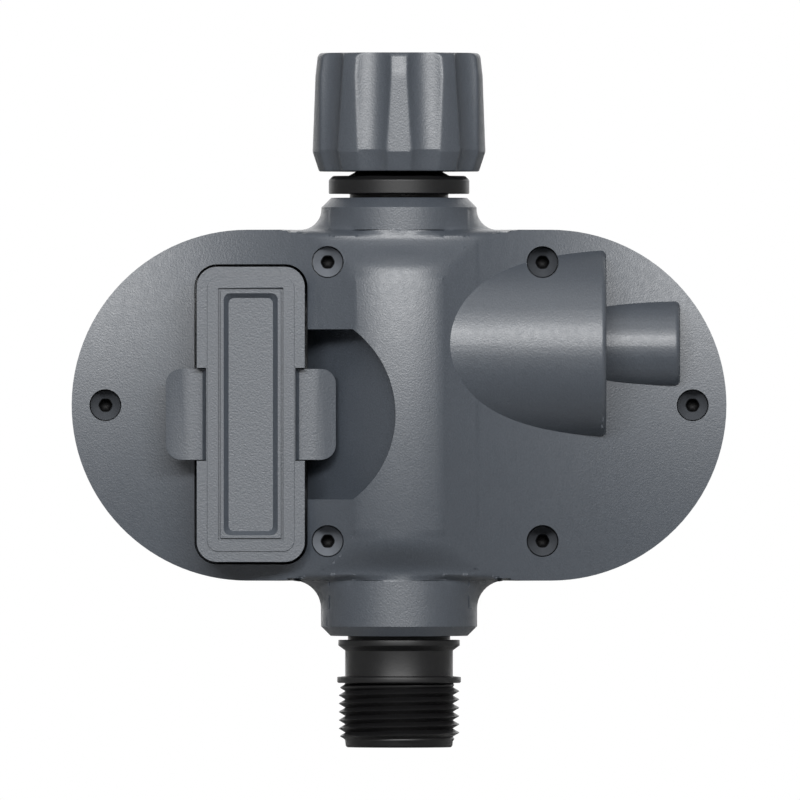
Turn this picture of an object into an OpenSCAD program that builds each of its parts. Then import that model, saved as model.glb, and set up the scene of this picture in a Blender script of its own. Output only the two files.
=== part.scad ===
// Smart water timer with a tap nut on top, a hose outlet below and a motor ball valve between.
// X runs to the right seen from the rear, +Y runs to the front, +Z runs up to the tap.
// The origin is the middle of the tap nut's mouth. The modules work from the middle of the
// case on the pipe axis, and hang() lowers them below the mouth.

/* [Case] */
// Radius of the two round lobes of the case
lobe_r = 38.4; // [36:0.1:42]
// Distance of each lobe's middle from the pipe axis
lobe_x = 33.3; // [32:0.1:36]
// Wall of both halves of the case
wall = 2.4; // [1.8:0.1:2.6]
// Depth from the valve axis forward to the front face
front_y = 52.5; // [51:0.1:60]
// Depth from the valve axis forward to the joint between the two halves
part_y = 14; // [12:0.5:18]
// Radius of the round edge of the front face
front_edge_r = 6; // [3:0.5:9]
// Radius of the hollow sweep on the back of each lobe
sweep_r = 110; // [100:1:120]
// Distance of the lowest line of the sweep from the pipe axis
sweep_x = 74.7; // [73:0.1:78]
// Depth of the lowest line of the sweep, behind the valve axis
sweep_back = 0.8; // [0.2:0.1:2]
// Radius of the corners where each sweep fades into the necks
sweep_corner_r = 17; // [10:1:22]

/* [Barrel and necks] */
// Radius of the barrel round the water pipe
barrel_r = 24.2; // [23.5:0.1:25.5]
// Height of the barrel's shoulder above and below the middle
barrel_h = 36.8; // [35:0.1:38]
// Radius of the upper neck
top_neck_r = 17; // [16:0.1:18]
// Height of the upper neck's end above the middle
top_neck_z = 45.4; // [44:0.1:46]
// Radius of the lower neck
bottom_neck_r = 17.1; // [16:0.1:18]
// Depth of the lower neck's end below the middle
bottom_neck_z = 50.5; // [48:0.1:51]
// Slope at the end of both necks
neck_chamfer = 2.1; // [1:0.1:3]
// Radius of the hollow between the upper neck and the lobes
top_fillet_r = 4.6; // [3:0.1:4.9]
// Radius of the hollow between the lower neck and the lobes
bottom_fillet_r = 6.1; // [4:0.1:8]

/* [Motor bulge] */
// Height of the valve and motor axis above the middle of the case
valve_z = 13.5; // [12:0.1:15]
// Radius of the gear bulge
bulge_r = 21; // [20:0.1:22]
// Distance of the gear bulge's end from the pipe axis
bulge_x = 45.3; // [44:0.1:47]
// Radius of the motor's own tube
motor_tube_r = 9.4; // [9:0.1:10.5]
// Distance of the motor tube's end from the pipe axis
motor_tube_x = 61.5; // [61:0.1:64]
// Radius of the round edges of both ends
bulge_edge_r = 1.2; // [0.5:0.1:2]

/* [Battery cover] */
// Distance of the cover's middle from the pipe axis
cover_x = 32.4; // [32:0.1:34]
// Height of the cover's middle, below the middle of the case
cover_drop = 2; // [0:0.1:3]
// Width of the cover's outer rim
cover_w = 23.6; // [23:0.1:24]
// Height of the cover's outer rim
cover_h = 64.5; // [62:0.1:66]
// Corner radius of the outer rim
cover_r = 4.4; // [3:0.1:6]
// Width of the flat rim round the raised panel
cover_rim = 2.05; // [1.5:0.05:2.3]
// Distance of the cover's face behind the valve axis
cover_back = 16.6; // [16:0.1:18]
// Gap between the cover's skirt and the case
cover_gap = 0.6; // [0.3:0.05:0.8]
// Distance from one squeeze tab's tip to the other
tab_span = 37.2; // [36:0.1:39]
// Height of the squeeze tabs
tab_h = 19.9; // [16:0.1:24]
// Wall of the squeeze tabs and the cover's skirt
tab_wall = 1.1; // [0.9:0.05:1.2]
// Corner radius of the squeeze tabs
tab_r = 3.3; // [2:0.1:4]
// Radius of the finger scoop beside the cover
scoop_r = 23.15; // [21:0.05:23.5]
// Height of the finger scoop
scoop_h = 37.2; // [30:0.1:40]
// Depth of the scoop's floor at the cover, behind the valve axis
scoop_floor = 2.5; // [2:0.1:4]

/* [Batteries] */
// Diameter of one cell
cell_d = 14.2; // [13.8:0.1:14.4]
// Length of one cell without its button
cell_len = 49; // [48:0.1:50]
// Number of cells side by side in the tray
cells = 4; // [2:1:4]
// Clearance round each cell
cell_gap = 0.2; // [0.1:0.05:0.3]
// Wall of the tray
tray_wall = 1.5; // [1:0.1:1.6]
// Clearance between the tray and its bay
tray_gap = 0.3; // [0.2:0.05:0.4]
// Wall of the battery bay
bay_wall = 1.4; // [1:0.1:1.5]
// How far the tray slides out
tray_travel = 62; // [50:1:80]

/* [Water pipe] */
// Bore of the pipe above the ball
pipe_bore_r = 6.5; // [5.5:0.1:7]
// Radius of the valve body round the ball
valve_r = 12.8; // [12.6:0.1:13.2]
// Half the height of the valve body
valve_h = 36; // [34:0.5:37]
// Radius of the ball
ball_r = 10; // [9.5:0.1:10.1]
// Bore of the ball
ball_bore_r = 6; // [5:0.1:6.4]
// Radius of the two connectors where they enter the valve body
plug_r = 10.8; // [10.6:0.05:11]
// Clearance between the connectors and their sockets
plug_gap = 0.05; // [0.02:0.01:0.1]
// Radius of the ball's stem
stem_r = 2.5; // [2:0.1:3]
// Radial clearance of every turning journal
journal_gap = 0.05; // [0.02:0.01:0.08]

/* [Tap nut] */
// Height of the nut's mouth above the middle of the case
nut_top = 77.1; // [76:0.1:79]
// Height of the nut's lower end above the middle of the case
nut_bottom = 51.2; // [50.6:0.1:52]
// Largest radius of the nut
nut_r = 19.2; // [18.5:0.1:20]
// Radius of the nut's body under its mouth
nut_top_r = 18.75; // [18:0.05:19]
// Radius of the round edge at the nut's mouth
nut_edge_r = 1.3; // [0.5:0.1:2]
// Number of finger flutes round the nut
flutes = 10; // [8:1:12]
// Radius of each finger flute
flute_r = 6; // [5:0.1:7]
// Depth of the flutes at the nut's mouth
flute_depth = 2.8; // [1.5:0.1:3]
// Depth of the flutes at their lower end
flute_low_depth = 1.15; // [0.6:0.05:1.4]
// Height at which the flutes bend inwards, above the nut's lower end
flute_end = 4.7; // [3:0.1:7]
// Slope of the flutes under that bend, in degrees
flute_tuck = 16; // [12:1:20]
// Bore of the female tap thread
tap_thread_r = 12.06; // [12:0.01:12.1]
// Length of the female tap thread
tap_thread_len = 12.6; // [10:0.1:12.6]
// Radius of the run-out under the tap thread
tap_relief_r = 13.2; // [13.2:0.1:14]
// Thickness of the web that hangs on the retaining ring
nut_web = 7.3; // [6:0.1:8]
// Radius of the spigot that the nut turns on
spigot_r = 9.5; // [9:0.1:10]

/* [Black connectors] */
// Radius of the flange above the upper neck
flange_r = 15.4; // [14:0.1:16]
// Thickness of the flange above the upper neck
flange_t = 3.9; // [3:0.1:4]
// Gap between the necks and the flanges next to them
flange_gap = 0.9; // [0.5:0.1:1]
// Radius of the outlet where it leaves the lower neck
outlet_neck_r = 11.2; // [11.1:0.1:11.6]
// Radius of the outlet's first flange
outlet_flange_r = 13.3; // [13:0.1:14]
// Radius of the outlet's plain tube
outlet_tube_r = 11.8; // [11.5:0.1:12]
// Radius of the flange above the hose thread
thread_flange_r = 13.55; // [13.4:0.05:14]
// Outer radius of the male hose thread
hose_thread_r = 13.2; // [13.1:0.05:13.3]
// Length of the male hose thread
hose_thread_len = 12.7; // [11:0.1:14]
// Radius of the plain end below the thread
outlet_end_r = 11.7; // [11.5:0.1:12]
// Depth of the outlet's end below the middle of the case
outlet_end = 74.9; // [74:0.1:78]
// Bore of the outlet
outlet_bore_r = 8; // [7:0.1:8.4]

/* [Gear train] */
// Gear module of every gear
gear_module = 0.6; // [0.58:0.01:0.62]
// Teeth of every pinion
pinion_teeth = 12; // [12:1:12]
// Teeth of every wheel
wheel_teeth = 30; // [30:1:30]
// Pressure angle of the teeth
pressure_angle = 25; // [24:0.5:26]
// Play taken off both sides of every tooth
tooth_play = 0.07; // [0.05:0.01:0.1]
// Width of every toothed wheel
gear_w = 2.6; // [2.2:0.1:2.8]
// Free space between neighbouring wheels
gear_step = 0.7; // [0.5:0.05:0.9]
// Radius of the fixed layshaft pin
pin_r = 1; // [0.8:0.1:1.2]
// Wall of the gearbox
gearbox_wall = 1.2; // [1:0.1:1.5]
// Radius of the motor can
motor_r = 7; // [6.5:0.1:7]
// Length of the motor can
motor_len = 19.4; // [17:0.1:19.8]

/* [Flow meter] */
// Radius of the flow chamber under the ball
chamber_r = 8.55; // [8.2:0.05:8.7]
// Number of blades on the flow rotor
blades = 6; // [4:1:8]
// Radius of the flow rotor
rotor_r = 7.8; // [7:0.1:8]
// Height of the flow rotor
rotor_h = 8; // [6:0.5:8]
// Slope of the blades
blade_angle = 32; // [20:1:40]

/* [Electronics and button] */
// Thickness of the circuit board
board_t = 1.6; // [1:0.1:2]
// Distance of the board's front face behind the case's front face
board_back = 12.9; // [12.8:0.1:14]
// Width of the circuit board
board_w = 74; // [60:1:74]
// Height of the circuit board
board_h = 49; // [40:1:50]
// Radius of the push button
button_r = 9; // [7:0.1:12]
// How far the button stands out of the front face
button_proud = 0.9; // [0.5:0.1:2]
// How far the button can be pressed
button_travel = 1; // [0.6:0.1:1.2]
// Radius of the light pipe above the button
light_r = 1.6; // [1:0.1:2.5]
// Height of the light pipe above the button's middle
light_z = 16; // [13:0.5:20]

/* [Screws] */
// Radius of the case screws' heads
screw_head_r = 3.3; // [3:0.1:3.4]
// Radius of the case screws' shanks
screw_r = 1.5; // [1.2:0.1:1.7]
// Wall round each case screw
boss_wall = 1.9; // [1.5:0.1:2.2]
// Distance of the two outer screws from the pipe axis
outer_screw_x = 64.3; // [62:0.1:65]
// Distance of the right pair of screws from the pipe axis
right_screw_x = 31.4; // [31:0.1:33]
// Distance of the left pair of screws from the pipe axis
left_screw_x = 15.6; // [15:0.1:16]
// Height of both pairs of screws above and below their own middle
pair_screw_z = 30.5; // [30:0.1:31]
// Height of the middle of both pairs above the middle of the case
pair_screw_lift = 0.8; // [0:0.1:1]

/* [Hidden] */
$fn = 96;
eps = 0.01;
case_colour = [0.40, 0.44, 0.49];
black_colour = [0.12, 0.12, 0.13];
pale_colour = [0.82, 0.82, 0.80];
metal_colour = [0.72, 0.72, 0.70];
board_colour = [0.10, 0.35, 0.22];

// Case
sweep_y = -sweep_back - sweep_r;
crown_cut_x = 8.5;
slab_back = 17;
neck_inner_r = 14.6;
neck_end_t = 2;
spigot_hole_r = plug_r + 0.3;
outlet_hole_r = outlet_neck_r + 0.1;
// Screws: distance from the axis, height, depth of the head's rim, length
SCREWS = [
    [-outer_screw_x, 0, 1.4, 20],
    [outer_screw_x, 0, 1.4, 20],
    [right_screw_x, pair_screw_lift + pair_screw_z, -6, 28],
    [right_screw_x, pair_screw_lift - pair_screw_z, -6, 28],
    [-left_screw_x, pair_screw_lift + pair_screw_z, -15.2, 38],
    [-left_screw_x, pair_screw_lift - pair_screw_z, -15.2, 38]];
screw_gap = 0.2;
boss_r = screw_head_r + boss_wall;
front_boss_r = screw_r + 2.3;
lip_gap = 0.15;
lip_t = 1.3;

// Battery cover and bay
cover_z = -cover_drop;
cap_t = 5.4;
panel_w = cover_w - 2 * cover_rim;
panel_h = cover_h - 2 * cover_rim;
tray_w = cell_d + 2 * cell_gap + 2 * tray_wall;
tray_h = cell_len + 1 + 2 * cell_gap + 2 * tray_wall + 2;
cell_pitch = cell_d + cell_gap;
tray_front = -cover_back + cap_t + 0.1;
tray_len = cells * cell_pitch + cell_gap + 0.6;
bay_in_w = tray_w + 2 * tray_gap;
bay_in_h = tray_h + 2 * tray_gap;
bay_w = bay_in_w + 2 * bay_wall;
bay_h = bay_in_h + 2 * bay_wall;
bay_mouth_y = -9;
bay_end_y = tray_front + tray_len + tray_gap + bay_wall;
well_floor_y = 1.6;
skirt_end_y = 1;

// Water pipe
seat_outer_r = ball_r + 0.2;
ball_chamber_r = ball_r + 0.25;
chamber_floor_z = valve_z - ball_r - 2.9;
seat_top_z = valve_z + ball_r + 2.9;
plug_top_z = seat_top_z + 0.1;
sensor_top_z = -3;
sensor_end_z = -25;
flange_z = top_neck_z + flange_gap;
spigot_top_z = nut_bottom + nut_web + 3.6;
web_top_z = nut_bottom + nut_web;
stem_face_x = 19;
stem_pad_r = 6;
stem_flange_r = 9;

// Gear train: the wheels stand in four planes from the ball outwards
pitch_pinion_r = gear_module * pinion_teeth / 2;
pitch_wheel_r = gear_module * wheel_teeth / 2;
gear_distance = pitch_pinion_r + pitch_wheel_r;
stage_ratio = wheel_teeth / pinion_teeth;
gear_tip_r = pitch_wheel_r + gear_module;
base_plate_t = 1.5;
cam_x = stem_face_x + base_plate_t + 0.6;
cam_w = 2;
plane_four = cam_x + cam_w + 0.9;
plane_three = plane_four + gear_w + gear_step;
plane_two = plane_three + gear_w + gear_step;
plane_one = plane_two + gear_w + gear_step;
cover_plate_x = plane_one + gear_w + 0.8;
gearbox_in_r = gear_tip_r + 0.5;
gearbox_r = gearbox_in_r + gearbox_wall;
motor_x = cover_plate_x + base_plate_t;

// Electronics
board_y = front_y - board_back;
board_x = 19.5;
button_stem_r = 3;
switch_h = 3.6;

// Lowers the whole timer from the middle of the case to its place below the nut's mouth
module hang() translate([0, 0, -nut_top]) children();

// A flat outline in X and Z, thickened from one depth to another
module along_y(y0, y1) translate([0, y1, 0]) rotate([90, 0, 0]) linear_extrude(y1 - y0) children();

// A cylinder along Y between two depths
module rod_y(r, y0, y1) translate([0, y1, 0]) rotate([90, 0, 0]) cylinder(r = r, h = y1 - y0);

// A cylinder along X between two places
module rod_x(r, x0, x1) translate([x0, 0, 0]) rotate([0, 90, 0]) cylinder(r = r, h = x1 - x0);

// A flat ring about the pipe axis
module ring(outer, inner, z0, z1) {
    difference() {
        translate([0, 0, z0]) cylinder(r = outer, h = z1 - z0);
        translate([0, 0, z0 - 1]) cylinder(r = inner, h = z1 - z0 + 2);
    }
}

// A rectangle with round corners, true arcs
module round_rect(w, h, r) {
    square([w - 2 * r, h], center = true);
    square([w, h - 2 * r], center = true);
    for (sx = [-1, 1], sy = [-1, 1]) translate([sx * (w / 2 - r), sy * (h / 2 - r)]) circle(r);
}

// The case's outline seen from the rear
module stadium(inset = 0) {
    square([2 * lobe_x, 2 * (lobe_r - inset)], center = true);
    for (s = [-1, 1]) translate([s * lobe_x, 0]) circle(lobe_r - inset);
}

// Outline of the two necks with the hollows that blend them into the lobes
module neck_outline() {
    side_fillet(top_neck_r, top_fillet_r, 1);
    side_fillet(bottom_neck_r, bottom_fillet_r, -1);
}

module side_fillet(neck_r, fillet_r, up) {
    for (s = [-1, 1]) scale([s, up]) {
        difference() {
            translate([neck_r - 2, lobe_r - 2]) square([fillet_r + 2, fillet_r + 2]);
            translate([neck_r + fillet_r, lobe_r + fillet_r]) circle(fillet_r);
        }
    }
}

// The lobes in plan: hollow backs swept up to the barrel
module lobe_plan(inset = 0) {
    difference() {
        translate([-100, -slab_back + inset]) square([200, slab_back - inset + part_y]);
        for (s = [-1, 1]) translate([s * sweep_x, sweep_y]) circle(sweep_r + inset, $fn = 200);
    }
}

// Barrel and both necks turned round the pipe axis
module barrel_outer() {
    rotate_extrude() difference() {
        polygon([[0, -bottom_neck_z], [bottom_neck_r - neck_chamfer, -bottom_neck_z],
            [bottom_neck_r, -bottom_neck_z + neck_chamfer], [bottom_neck_r, -barrel_h - 1.6],
            [barrel_r - 1.4, -barrel_h - 0.6], [barrel_r, -barrel_h + 0.8], [barrel_r, barrel_h - 0.8],
            [barrel_r - 1.4, barrel_h + 0.6], [top_neck_r, barrel_h + 1.6],
            [top_neck_r, top_neck_z - neck_chamfer], [top_neck_r - neck_chamfer, top_neck_z],
            [0, top_neck_z]]);
    }
}

// Everything that the hollow sweep takes off the barrel between the necks
module sweep_cutter() {
    intersection() {
        along_y(-40, part_y) for (s = [-1, 1])
            translate([s * (crown_cut_x + 50), 0]) round_rect(100, 2 * lobe_r, sweep_corner_r);
        for (s = [-1, 1]) translate([s * sweep_x, sweep_y, -50]) cylinder(r = sweep_r, h = 100, $fn = 200);
    }
}

// A bulge along X with a round edge at its far end
module bulge(r, x0, x1, edge) {
    translate([x0, 0, valve_z]) rotate([0, 90, 0]) rotate_extrude() {
        square([r - edge, x1 - x0]);
        square([r, x1 - x0 - edge]);
        translate([r - edge, x1 - x0 - edge]) circle(edge);
    }
}

module bulges(inset = 0) {
    bulge(bulge_r - inset, 0, bulge_x - inset, bulge_edge_r);
    bulge(motor_tube_r - inset * 0.84, bulge_x - 4, motor_tube_x - inset * 0.84, bulge_edge_r);
}

// The D-shaped finger scoop: a slanting floor that runs out on the barrel's crown
module scoop(grow = 0) {
    run = -cover_x + cover_w / 2;
    intersection() {
        along_y(-40, part_y) intersection() {
            translate([-cover_x + 8.5, cover_z]) circle(scoop_r + grow);
            translate([-cover_x, cover_z - scoop_h / 2 - grow]) square([40, scoop_h + 2 * grow]);
        }
        translate([0, 0, -40]) linear_extrude(80)
            polygon([[-cover_x, -scoop_floor + grow], [run, -scoop_floor + grow],
                [0, -barrel_r + 1.2 + 1.4 * grow], [0, -40], [-cover_x, -40]]);
    }
}

// Pocket and through hole for one case screw, from the back
module screw_pocket(s) {
    translate([s[0], 0, s[1]]) {
        rod_y(screw_head_r + screw_gap, -40, s[2] + 2);
        rod_y(screw_r + screw_gap, s[2], 60);
    }
}

// The well in the left lobe that takes the battery cover
module cover_well() {
    translate([-cover_x, 0, cover_z]) {
        along_y(-30, well_floor_y)
            round_rect(cover_w + 2 * cover_gap, cover_h + 2 * cover_gap, cover_r + cover_gap);
        along_y(-30, part_y + 1) round_rect(bay_w + 0.1, bay_h + 0.1, 2.05);
    }
}

module rear_cavity() {
    difference() {
        union() {
            intersection() {
                along_y(-30, part_y + 1) stadium(wall);
                translate([0, 0, -50]) linear_extrude(100) lobe_plan(wall);
            }
            translate([0, 0, 1 - barrel_h]) cylinder(r = barrel_r - wall, h = 2 * barrel_h - 2);
            intersection() {
                bulges(wall);
                along_y(-30, part_y + 1) stadium(wall);
            }
            intersection() {
                along_y(-wall - 16, part_y + 1) stadium(wall);
                translate([-barrel_r + wall, 0, -50]) cube([2 * (barrel_r - wall), 60, 100]);
            }
        }
        scoop(wall - 0.2);
        // Walls of the well round the cover
        translate([-cover_x, 0, cover_z]) along_y(-30, well_floor_y + wall)
            round_rect(cover_w + 2 * cover_gap + 3.4, cover_h + 2 * cover_gap + 3.4, cover_r + 2);
        for (s = SCREWS) translate([s[0], 0, s[1]]) rod_y(boss_r, -40, part_y);
    }
}

module rear_housing() color(case_colour) {
    difference() {
        union() {
            intersection() {
                along_y(-30, part_y) stadium();
                translate([0, 0, -50]) linear_extrude(100) lobe_plan();
            }
            difference() {
                barrel_outer();
                sweep_cutter();
                translate([-60, part_y, -lobe_r]) cube([120, 60, 2 * lobe_r]);
            }
            along_y(-12, part_y) neck_outline();
            intersection() {
                bulges();
                along_y(-30, part_y) stadium();
            }
        }
        rear_cavity();
        scoop();
        cover_well();
        for (s = SCREWS) screw_pocket(s);
        translate([0, 0, -bottom_neck_z + neck_end_t])
            cylinder(r = neck_inner_r, h = bottom_neck_z + top_neck_z - 2 * neck_end_t);
        translate([0, 0, 0]) cylinder(r = spigot_hole_r, h = 60);
        translate([0, 0, -60]) cylinder(r = outlet_hole_r, h = 60);
    }
}

// A stadium block from the joint to the front, with a round front edge
module front_block(inset, y0, y1, edge) {
    depth = y1 - y0;
    for (s = [-1, 1]) translate([s * lobe_x, y0, 0]) rotate([-90, 0, 0]) rotate_extrude() {
        square([lobe_r - inset - edge, depth]);
        square([lobe_r - inset, depth - edge]);
        intersection() {
            translate([lobe_r - inset - edge, depth - edge]) circle(edge);
            translate([0, 0]) square([lobe_r, depth]);
        }
    }
    translate([-lobe_x, y0, 0]) rotate([90, 0, 90]) linear_extrude(2 * lobe_x) {
        translate([0, -lobe_r + inset + edge]) square([depth, 2 * (lobe_r - inset - edge)]);
        translate([0, -lobe_r + inset]) square([depth - edge, 2 * (lobe_r - inset)]);
        for (s = [-1, 1]) translate([depth - edge, s * (lobe_r - inset - edge)]) circle(edge);
    }
}

module front_housing() color(case_colour) {
    difference() {
        union() {
            difference() {
                front_block(0, part_y, front_y, front_edge_r);
                front_block(wall, part_y - 1, front_y - wall, front_edge_r - wall);
            }
            for (s = SCREWS) translate([s[0], 0, s[1]]) rod_y(front_boss_r, part_y, front_y - 1);
            // Posts that carry the circuit board
            for (x = [board_x - board_w / 2 + 5, board_x + board_w / 2 - 12], z = [-1, 1])
                translate([x, 0, z * (board_h / 2 - 4)]) rod_y(2.4, board_y + board_t, front_y - 1);
            // Collar that guides the button
            rod_y(button_r + 3, front_y - 5.4, front_y - 1);
            translate([0, 0, light_z]) rod_y(light_r + 1.4, front_y - 6, front_y - 1);
            // Ribs that hold the battery bay's end
            for (s = [-1, 1]) translate([-cover_x, 0, cover_z + s * (bay_h / 2 + 1)])
                translate([-8, bay_end_y - 6, -0.8]) cube([16, front_y - bay_end_y + 5, 1.6]);
            // Spigot lip that centres the two halves, on a foot that joins it to the wall
            difference() {
                union() {
                    along_y(part_y - 1.6, part_y + 3) stadium(wall + lip_gap);
                    along_y(part_y, part_y + 3) stadium(wall - lip_t);
                }
                along_y(part_y - 2, part_y + 4) stadium(wall + lip_gap + lip_t);
            }
        }
        for (s = SCREWS) translate([s[0], 0, s[1]]) {
            rod_y(screw_r + 0.02, part_y - 10, s[2] + s[3] + 1);
            rod_y(boss_r + 0.2, part_y - 10, part_y);
        }
        translate([0, 0, 0]) rod_y(button_r + 0.2, front_y - 2.6, front_y + 5);
        rod_y(button_r + 1.4, front_y - 6, front_y - 2.6);
        translate([0, 0, light_z]) rod_y(light_r + 0.02, front_y - 20, front_y + 5);
        // Room for the barrel behind the joint
        intersection() {
            along_y(part_y - 3, part_y) stadium(wall - 1);
            translate([-barrel_r, part_y - 3, -50]) cube([2 * barrel_r, 3, 100]);
        }
    }
}

module housing_seal() color(black_colour) {
    difference() {
        along_y(part_y + 0, part_y + 0.9) translate([0, 0]) stadium(wall + 1.55);
        along_y(part_y - 1, part_y + 2) stadium(wall + 2.75);
        for (s = SCREWS) translate([s[0], 0, s[1]]) rod_y(front_boss_r + 0.3, part_y - 1, part_y + 3);
    }
}

// One case screw: a dished head with a round drive and a plain shank
module case_screw(s) {
    translate([s[0], 0, s[1]]) {
        difference() {
            rod_y(screw_head_r, s[2], s[2] + 2);
            translate([0, s[2] - 0.01, 0]) rotate([-90, 0, 0]) cylinder(r1 = 2.9, r2 = 1.5, h = 0.9);
            rod_y(1.35, s[2] - 1, s[2] + 1.6);
        }
        rod_y(screw_r, s[2] + 1.9, s[2] + s[3]);
    }
}

module housing_screws() color(metal_colour) for (s = SCREWS) case_screw(s);

// Water pipe, from the tap nut down to the hose outlet
module valve_body() color(black_colour) {
    difference() {
        union() {
            translate([0, 0, -valve_h]) cylinder(r = valve_r, h = 2 * valve_h);
            translate([0, 0, valve_z]) rod_x(stem_pad_r, 8, stem_face_x);
            translate([0, 0, valve_z]) rod_x(stem_flange_r, stem_face_x - 2.4, stem_face_x);
        }
        translate([0, 0, chamber_floor_z]) cylinder(r = ball_chamber_r, h = plug_top_z - chamber_floor_z);
        translate([0, 0, plug_top_z - eps]) cylinder(r = plug_r + plug_gap, h = 50);
        translate([0, 0, -50]) cylinder(r = pipe_bore_r, h = 80);
        translate([0, 0, sensor_end_z - eps]) cylinder(r = chamber_r, h = sensor_top_z - sensor_end_z);
        translate([0, 0, -50]) cylinder(r = plug_r + plug_gap, h = 50 + sensor_end_z);
        translate([0, 0, valve_z]) rod_x(stem_r + journal_gap, 5, 30);
    }
}

module inlet_spigot() color(black_colour) {
    difference() {
        rotate_extrude() polygon([[0, plug_top_z], [plug_r, plug_top_z], [plug_r, flange_z],
            [flange_r, flange_z], [flange_r, flange_z + flange_t - 0.9],
            [flange_r - 0.9, flange_z + flange_t], [spigot_r + 1.6, flange_z + flange_t],
            [spigot_r, nut_bottom - 0.1], [spigot_r, spigot_top_z], [0, spigot_top_z]]);
        cylinder(r = pipe_bore_r + 0.5, h = 90);
        ring(spigot_r + 1, spigot_r - 0.9, web_top_z + 0.25, web_top_z + 1.45);
        ring(plug_r + 1, plug_r - 1.65, plug_top_z + 2, plug_top_z + 3.9);
    }
}

module nut_retaining_ring() color(metal_colour) {
    difference() {
        ring(spigot_r + 1.6, spigot_r - 0.85, web_top_z + 0.3, web_top_z + 1.4);
        translate([0, -1, web_top_z]) cube([20, 2, 3]);
    }
}

module connector_o_rings() color(black_colour) {
    for (z = [plug_top_z + 2.95, sensor_end_z - 2.95])
        translate([0, 0, z]) rotate_extrude() translate([plug_r - 0.8, 0]) circle(0.8, $fn = 32);
}

module filter_washer() color(black_colour) {
    ring(tap_thread_r - 0.36, pipe_bore_r, spigot_top_z, spigot_top_z + 2.2);
    difference() {
        translate([0, 0, spigot_top_z - 6]) cylinder(r1 = 4, r2 = pipe_bore_r + 0.1, h = 6.5);
        translate([0, 0, spigot_top_z - 5.2]) cylinder(r1 = 3.4, r2 = pipe_bore_r - 0.5, h = 6.5);
    }
}

module ball_seats() color(pale_colour) {
    for (up = [-1, 1]) difference() {
        translate([0, 0, valve_z]) mirror([0, 0, up < 0 ? 1 : 0])
            translate([0, 0, 5.2]) cylinder(r = seat_outer_r, h = ball_r + 2.9 - 5.2);
        translate([0, 0, valve_z]) sphere(ball_r + journal_gap);
        translate([0, 0, valve_z - 20]) cylinder(r = ball_bore_r, h = 40);
    }
}

module outlet_connector() color(black_colour) {
    neck = -bottom_neck_z - flange_gap;
    tube_end = -outlet_end + 1.4 + hose_thread_len + 1.4;
    difference() {
        rotate_extrude() polygon([[0, sensor_end_z - 0.1], [plug_r, sensor_end_z - 0.1],
            [plug_r, -valve_h - 0.1], [outlet_neck_r, -valve_h - 0.1], [outlet_neck_r, neck],
            [outlet_flange_r, neck], [outlet_flange_r, neck - 1.2], [outlet_tube_r, neck - 2.3],
            [outlet_tube_r, tube_end], [thread_flange_r, tube_end],
            [thread_flange_r, tube_end - 1.4], [hose_thread_r, tube_end - 1.4],
            [hose_thread_r, tube_end - 1.4 - hose_thread_len],
            [outlet_end_r, tube_end - 1.4 - hose_thread_len], [outlet_end_r, -outlet_end],
            [0, -outlet_end]]);
        translate([0, 0, -90]) cylinder(r = outlet_bore_r, h = 90);
        ring(plug_r + 1, plug_r - 1.65, sensor_end_z - 3.9, sensor_end_z - 2);
    }
}

module flow_straightener() color(pale_colour) {
    ring(chamber_r - 0.05, chamber_r - 1, sensor_top_z - 5, sensor_top_z - 0.1);
    difference() {
        union() {
            for (a = [30, 90, 150]) rotate([0, 0, a])
                translate([-chamber_r + 0.5, -0.4, sensor_top_z - 4.7]) cube([2 * chamber_r - 1, 0.8, 3.7]);
            translate([0, 0, sensor_top_z - 6]) cylinder(r = 2, h = 6);
        }
        translate([0, 0, sensor_top_z - 7]) cylinder(r = 0.85, h = 2.6);
    }
}

rotor_z = sensor_top_z - 6.4 - rotor_h;
module flow_rotor() color(pale_colour) {
    difference() {
        union() {
            translate([0, 0, rotor_z]) cylinder(r = 2.6, h = rotor_h);
            for (a = [0 : 360 / blades : 359]) rotate([0, 0, a]) intersection() {
                translate([0, 0, rotor_z]) cylinder(r = rotor_r, h = rotor_h);
                translate([0, 0, rotor_z + rotor_h / 2]) rotate([blade_angle, 0, 0])
                    translate([1, -0.45, -20]) cube([20, 0.9, 40]);
            }
            translate([0, 0, rotor_z - 1.5]) cylinder(r = 0.8, h = rotor_h + 3.3);
        }
        translate([0, 0, rotor_z + 1]) difference() {
            cylinder(r = 2.1, h = rotor_h - 2);
            cylinder(r = 1.2, h = rotor_h - 2);
        }
    }
}

module rotor_magnet() color(metal_colour) {
    ring(2.05, 1.25, rotor_z + 1.1, rotor_z + rotor_h - 1.1);
}

module rotor_frame() color(pale_colour) {
    top = rotor_z - 0.5;
    ring(chamber_r - 0.05, chamber_r - 1, sensor_end_z, top);
    for (a = [30, 90, 150]) rotate([0, 0, a]) translate([-chamber_r + 0.5, -0.4, sensor_end_z + 0.4])
        cube([2 * chamber_r - 1, 0.8, 3]);
    difference() {
        translate([0, 0, sensor_end_z + 0.2]) cylinder(r = 2, h = top - sensor_end_z - 0.2);
        translate([0, 0, sensor_end_z + 3]) cylinder(r = 0.85, h = 20);
    }
}

module flow_sensor() color(board_colour) {
    translate([valve_r + 0.02, -4, rotor_z]) cube([1.2, 8, 9]);
    translate([valve_r + 1.22, -2, rotor_z + 3]) cube([1.6, 4, 3]);
}

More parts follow.
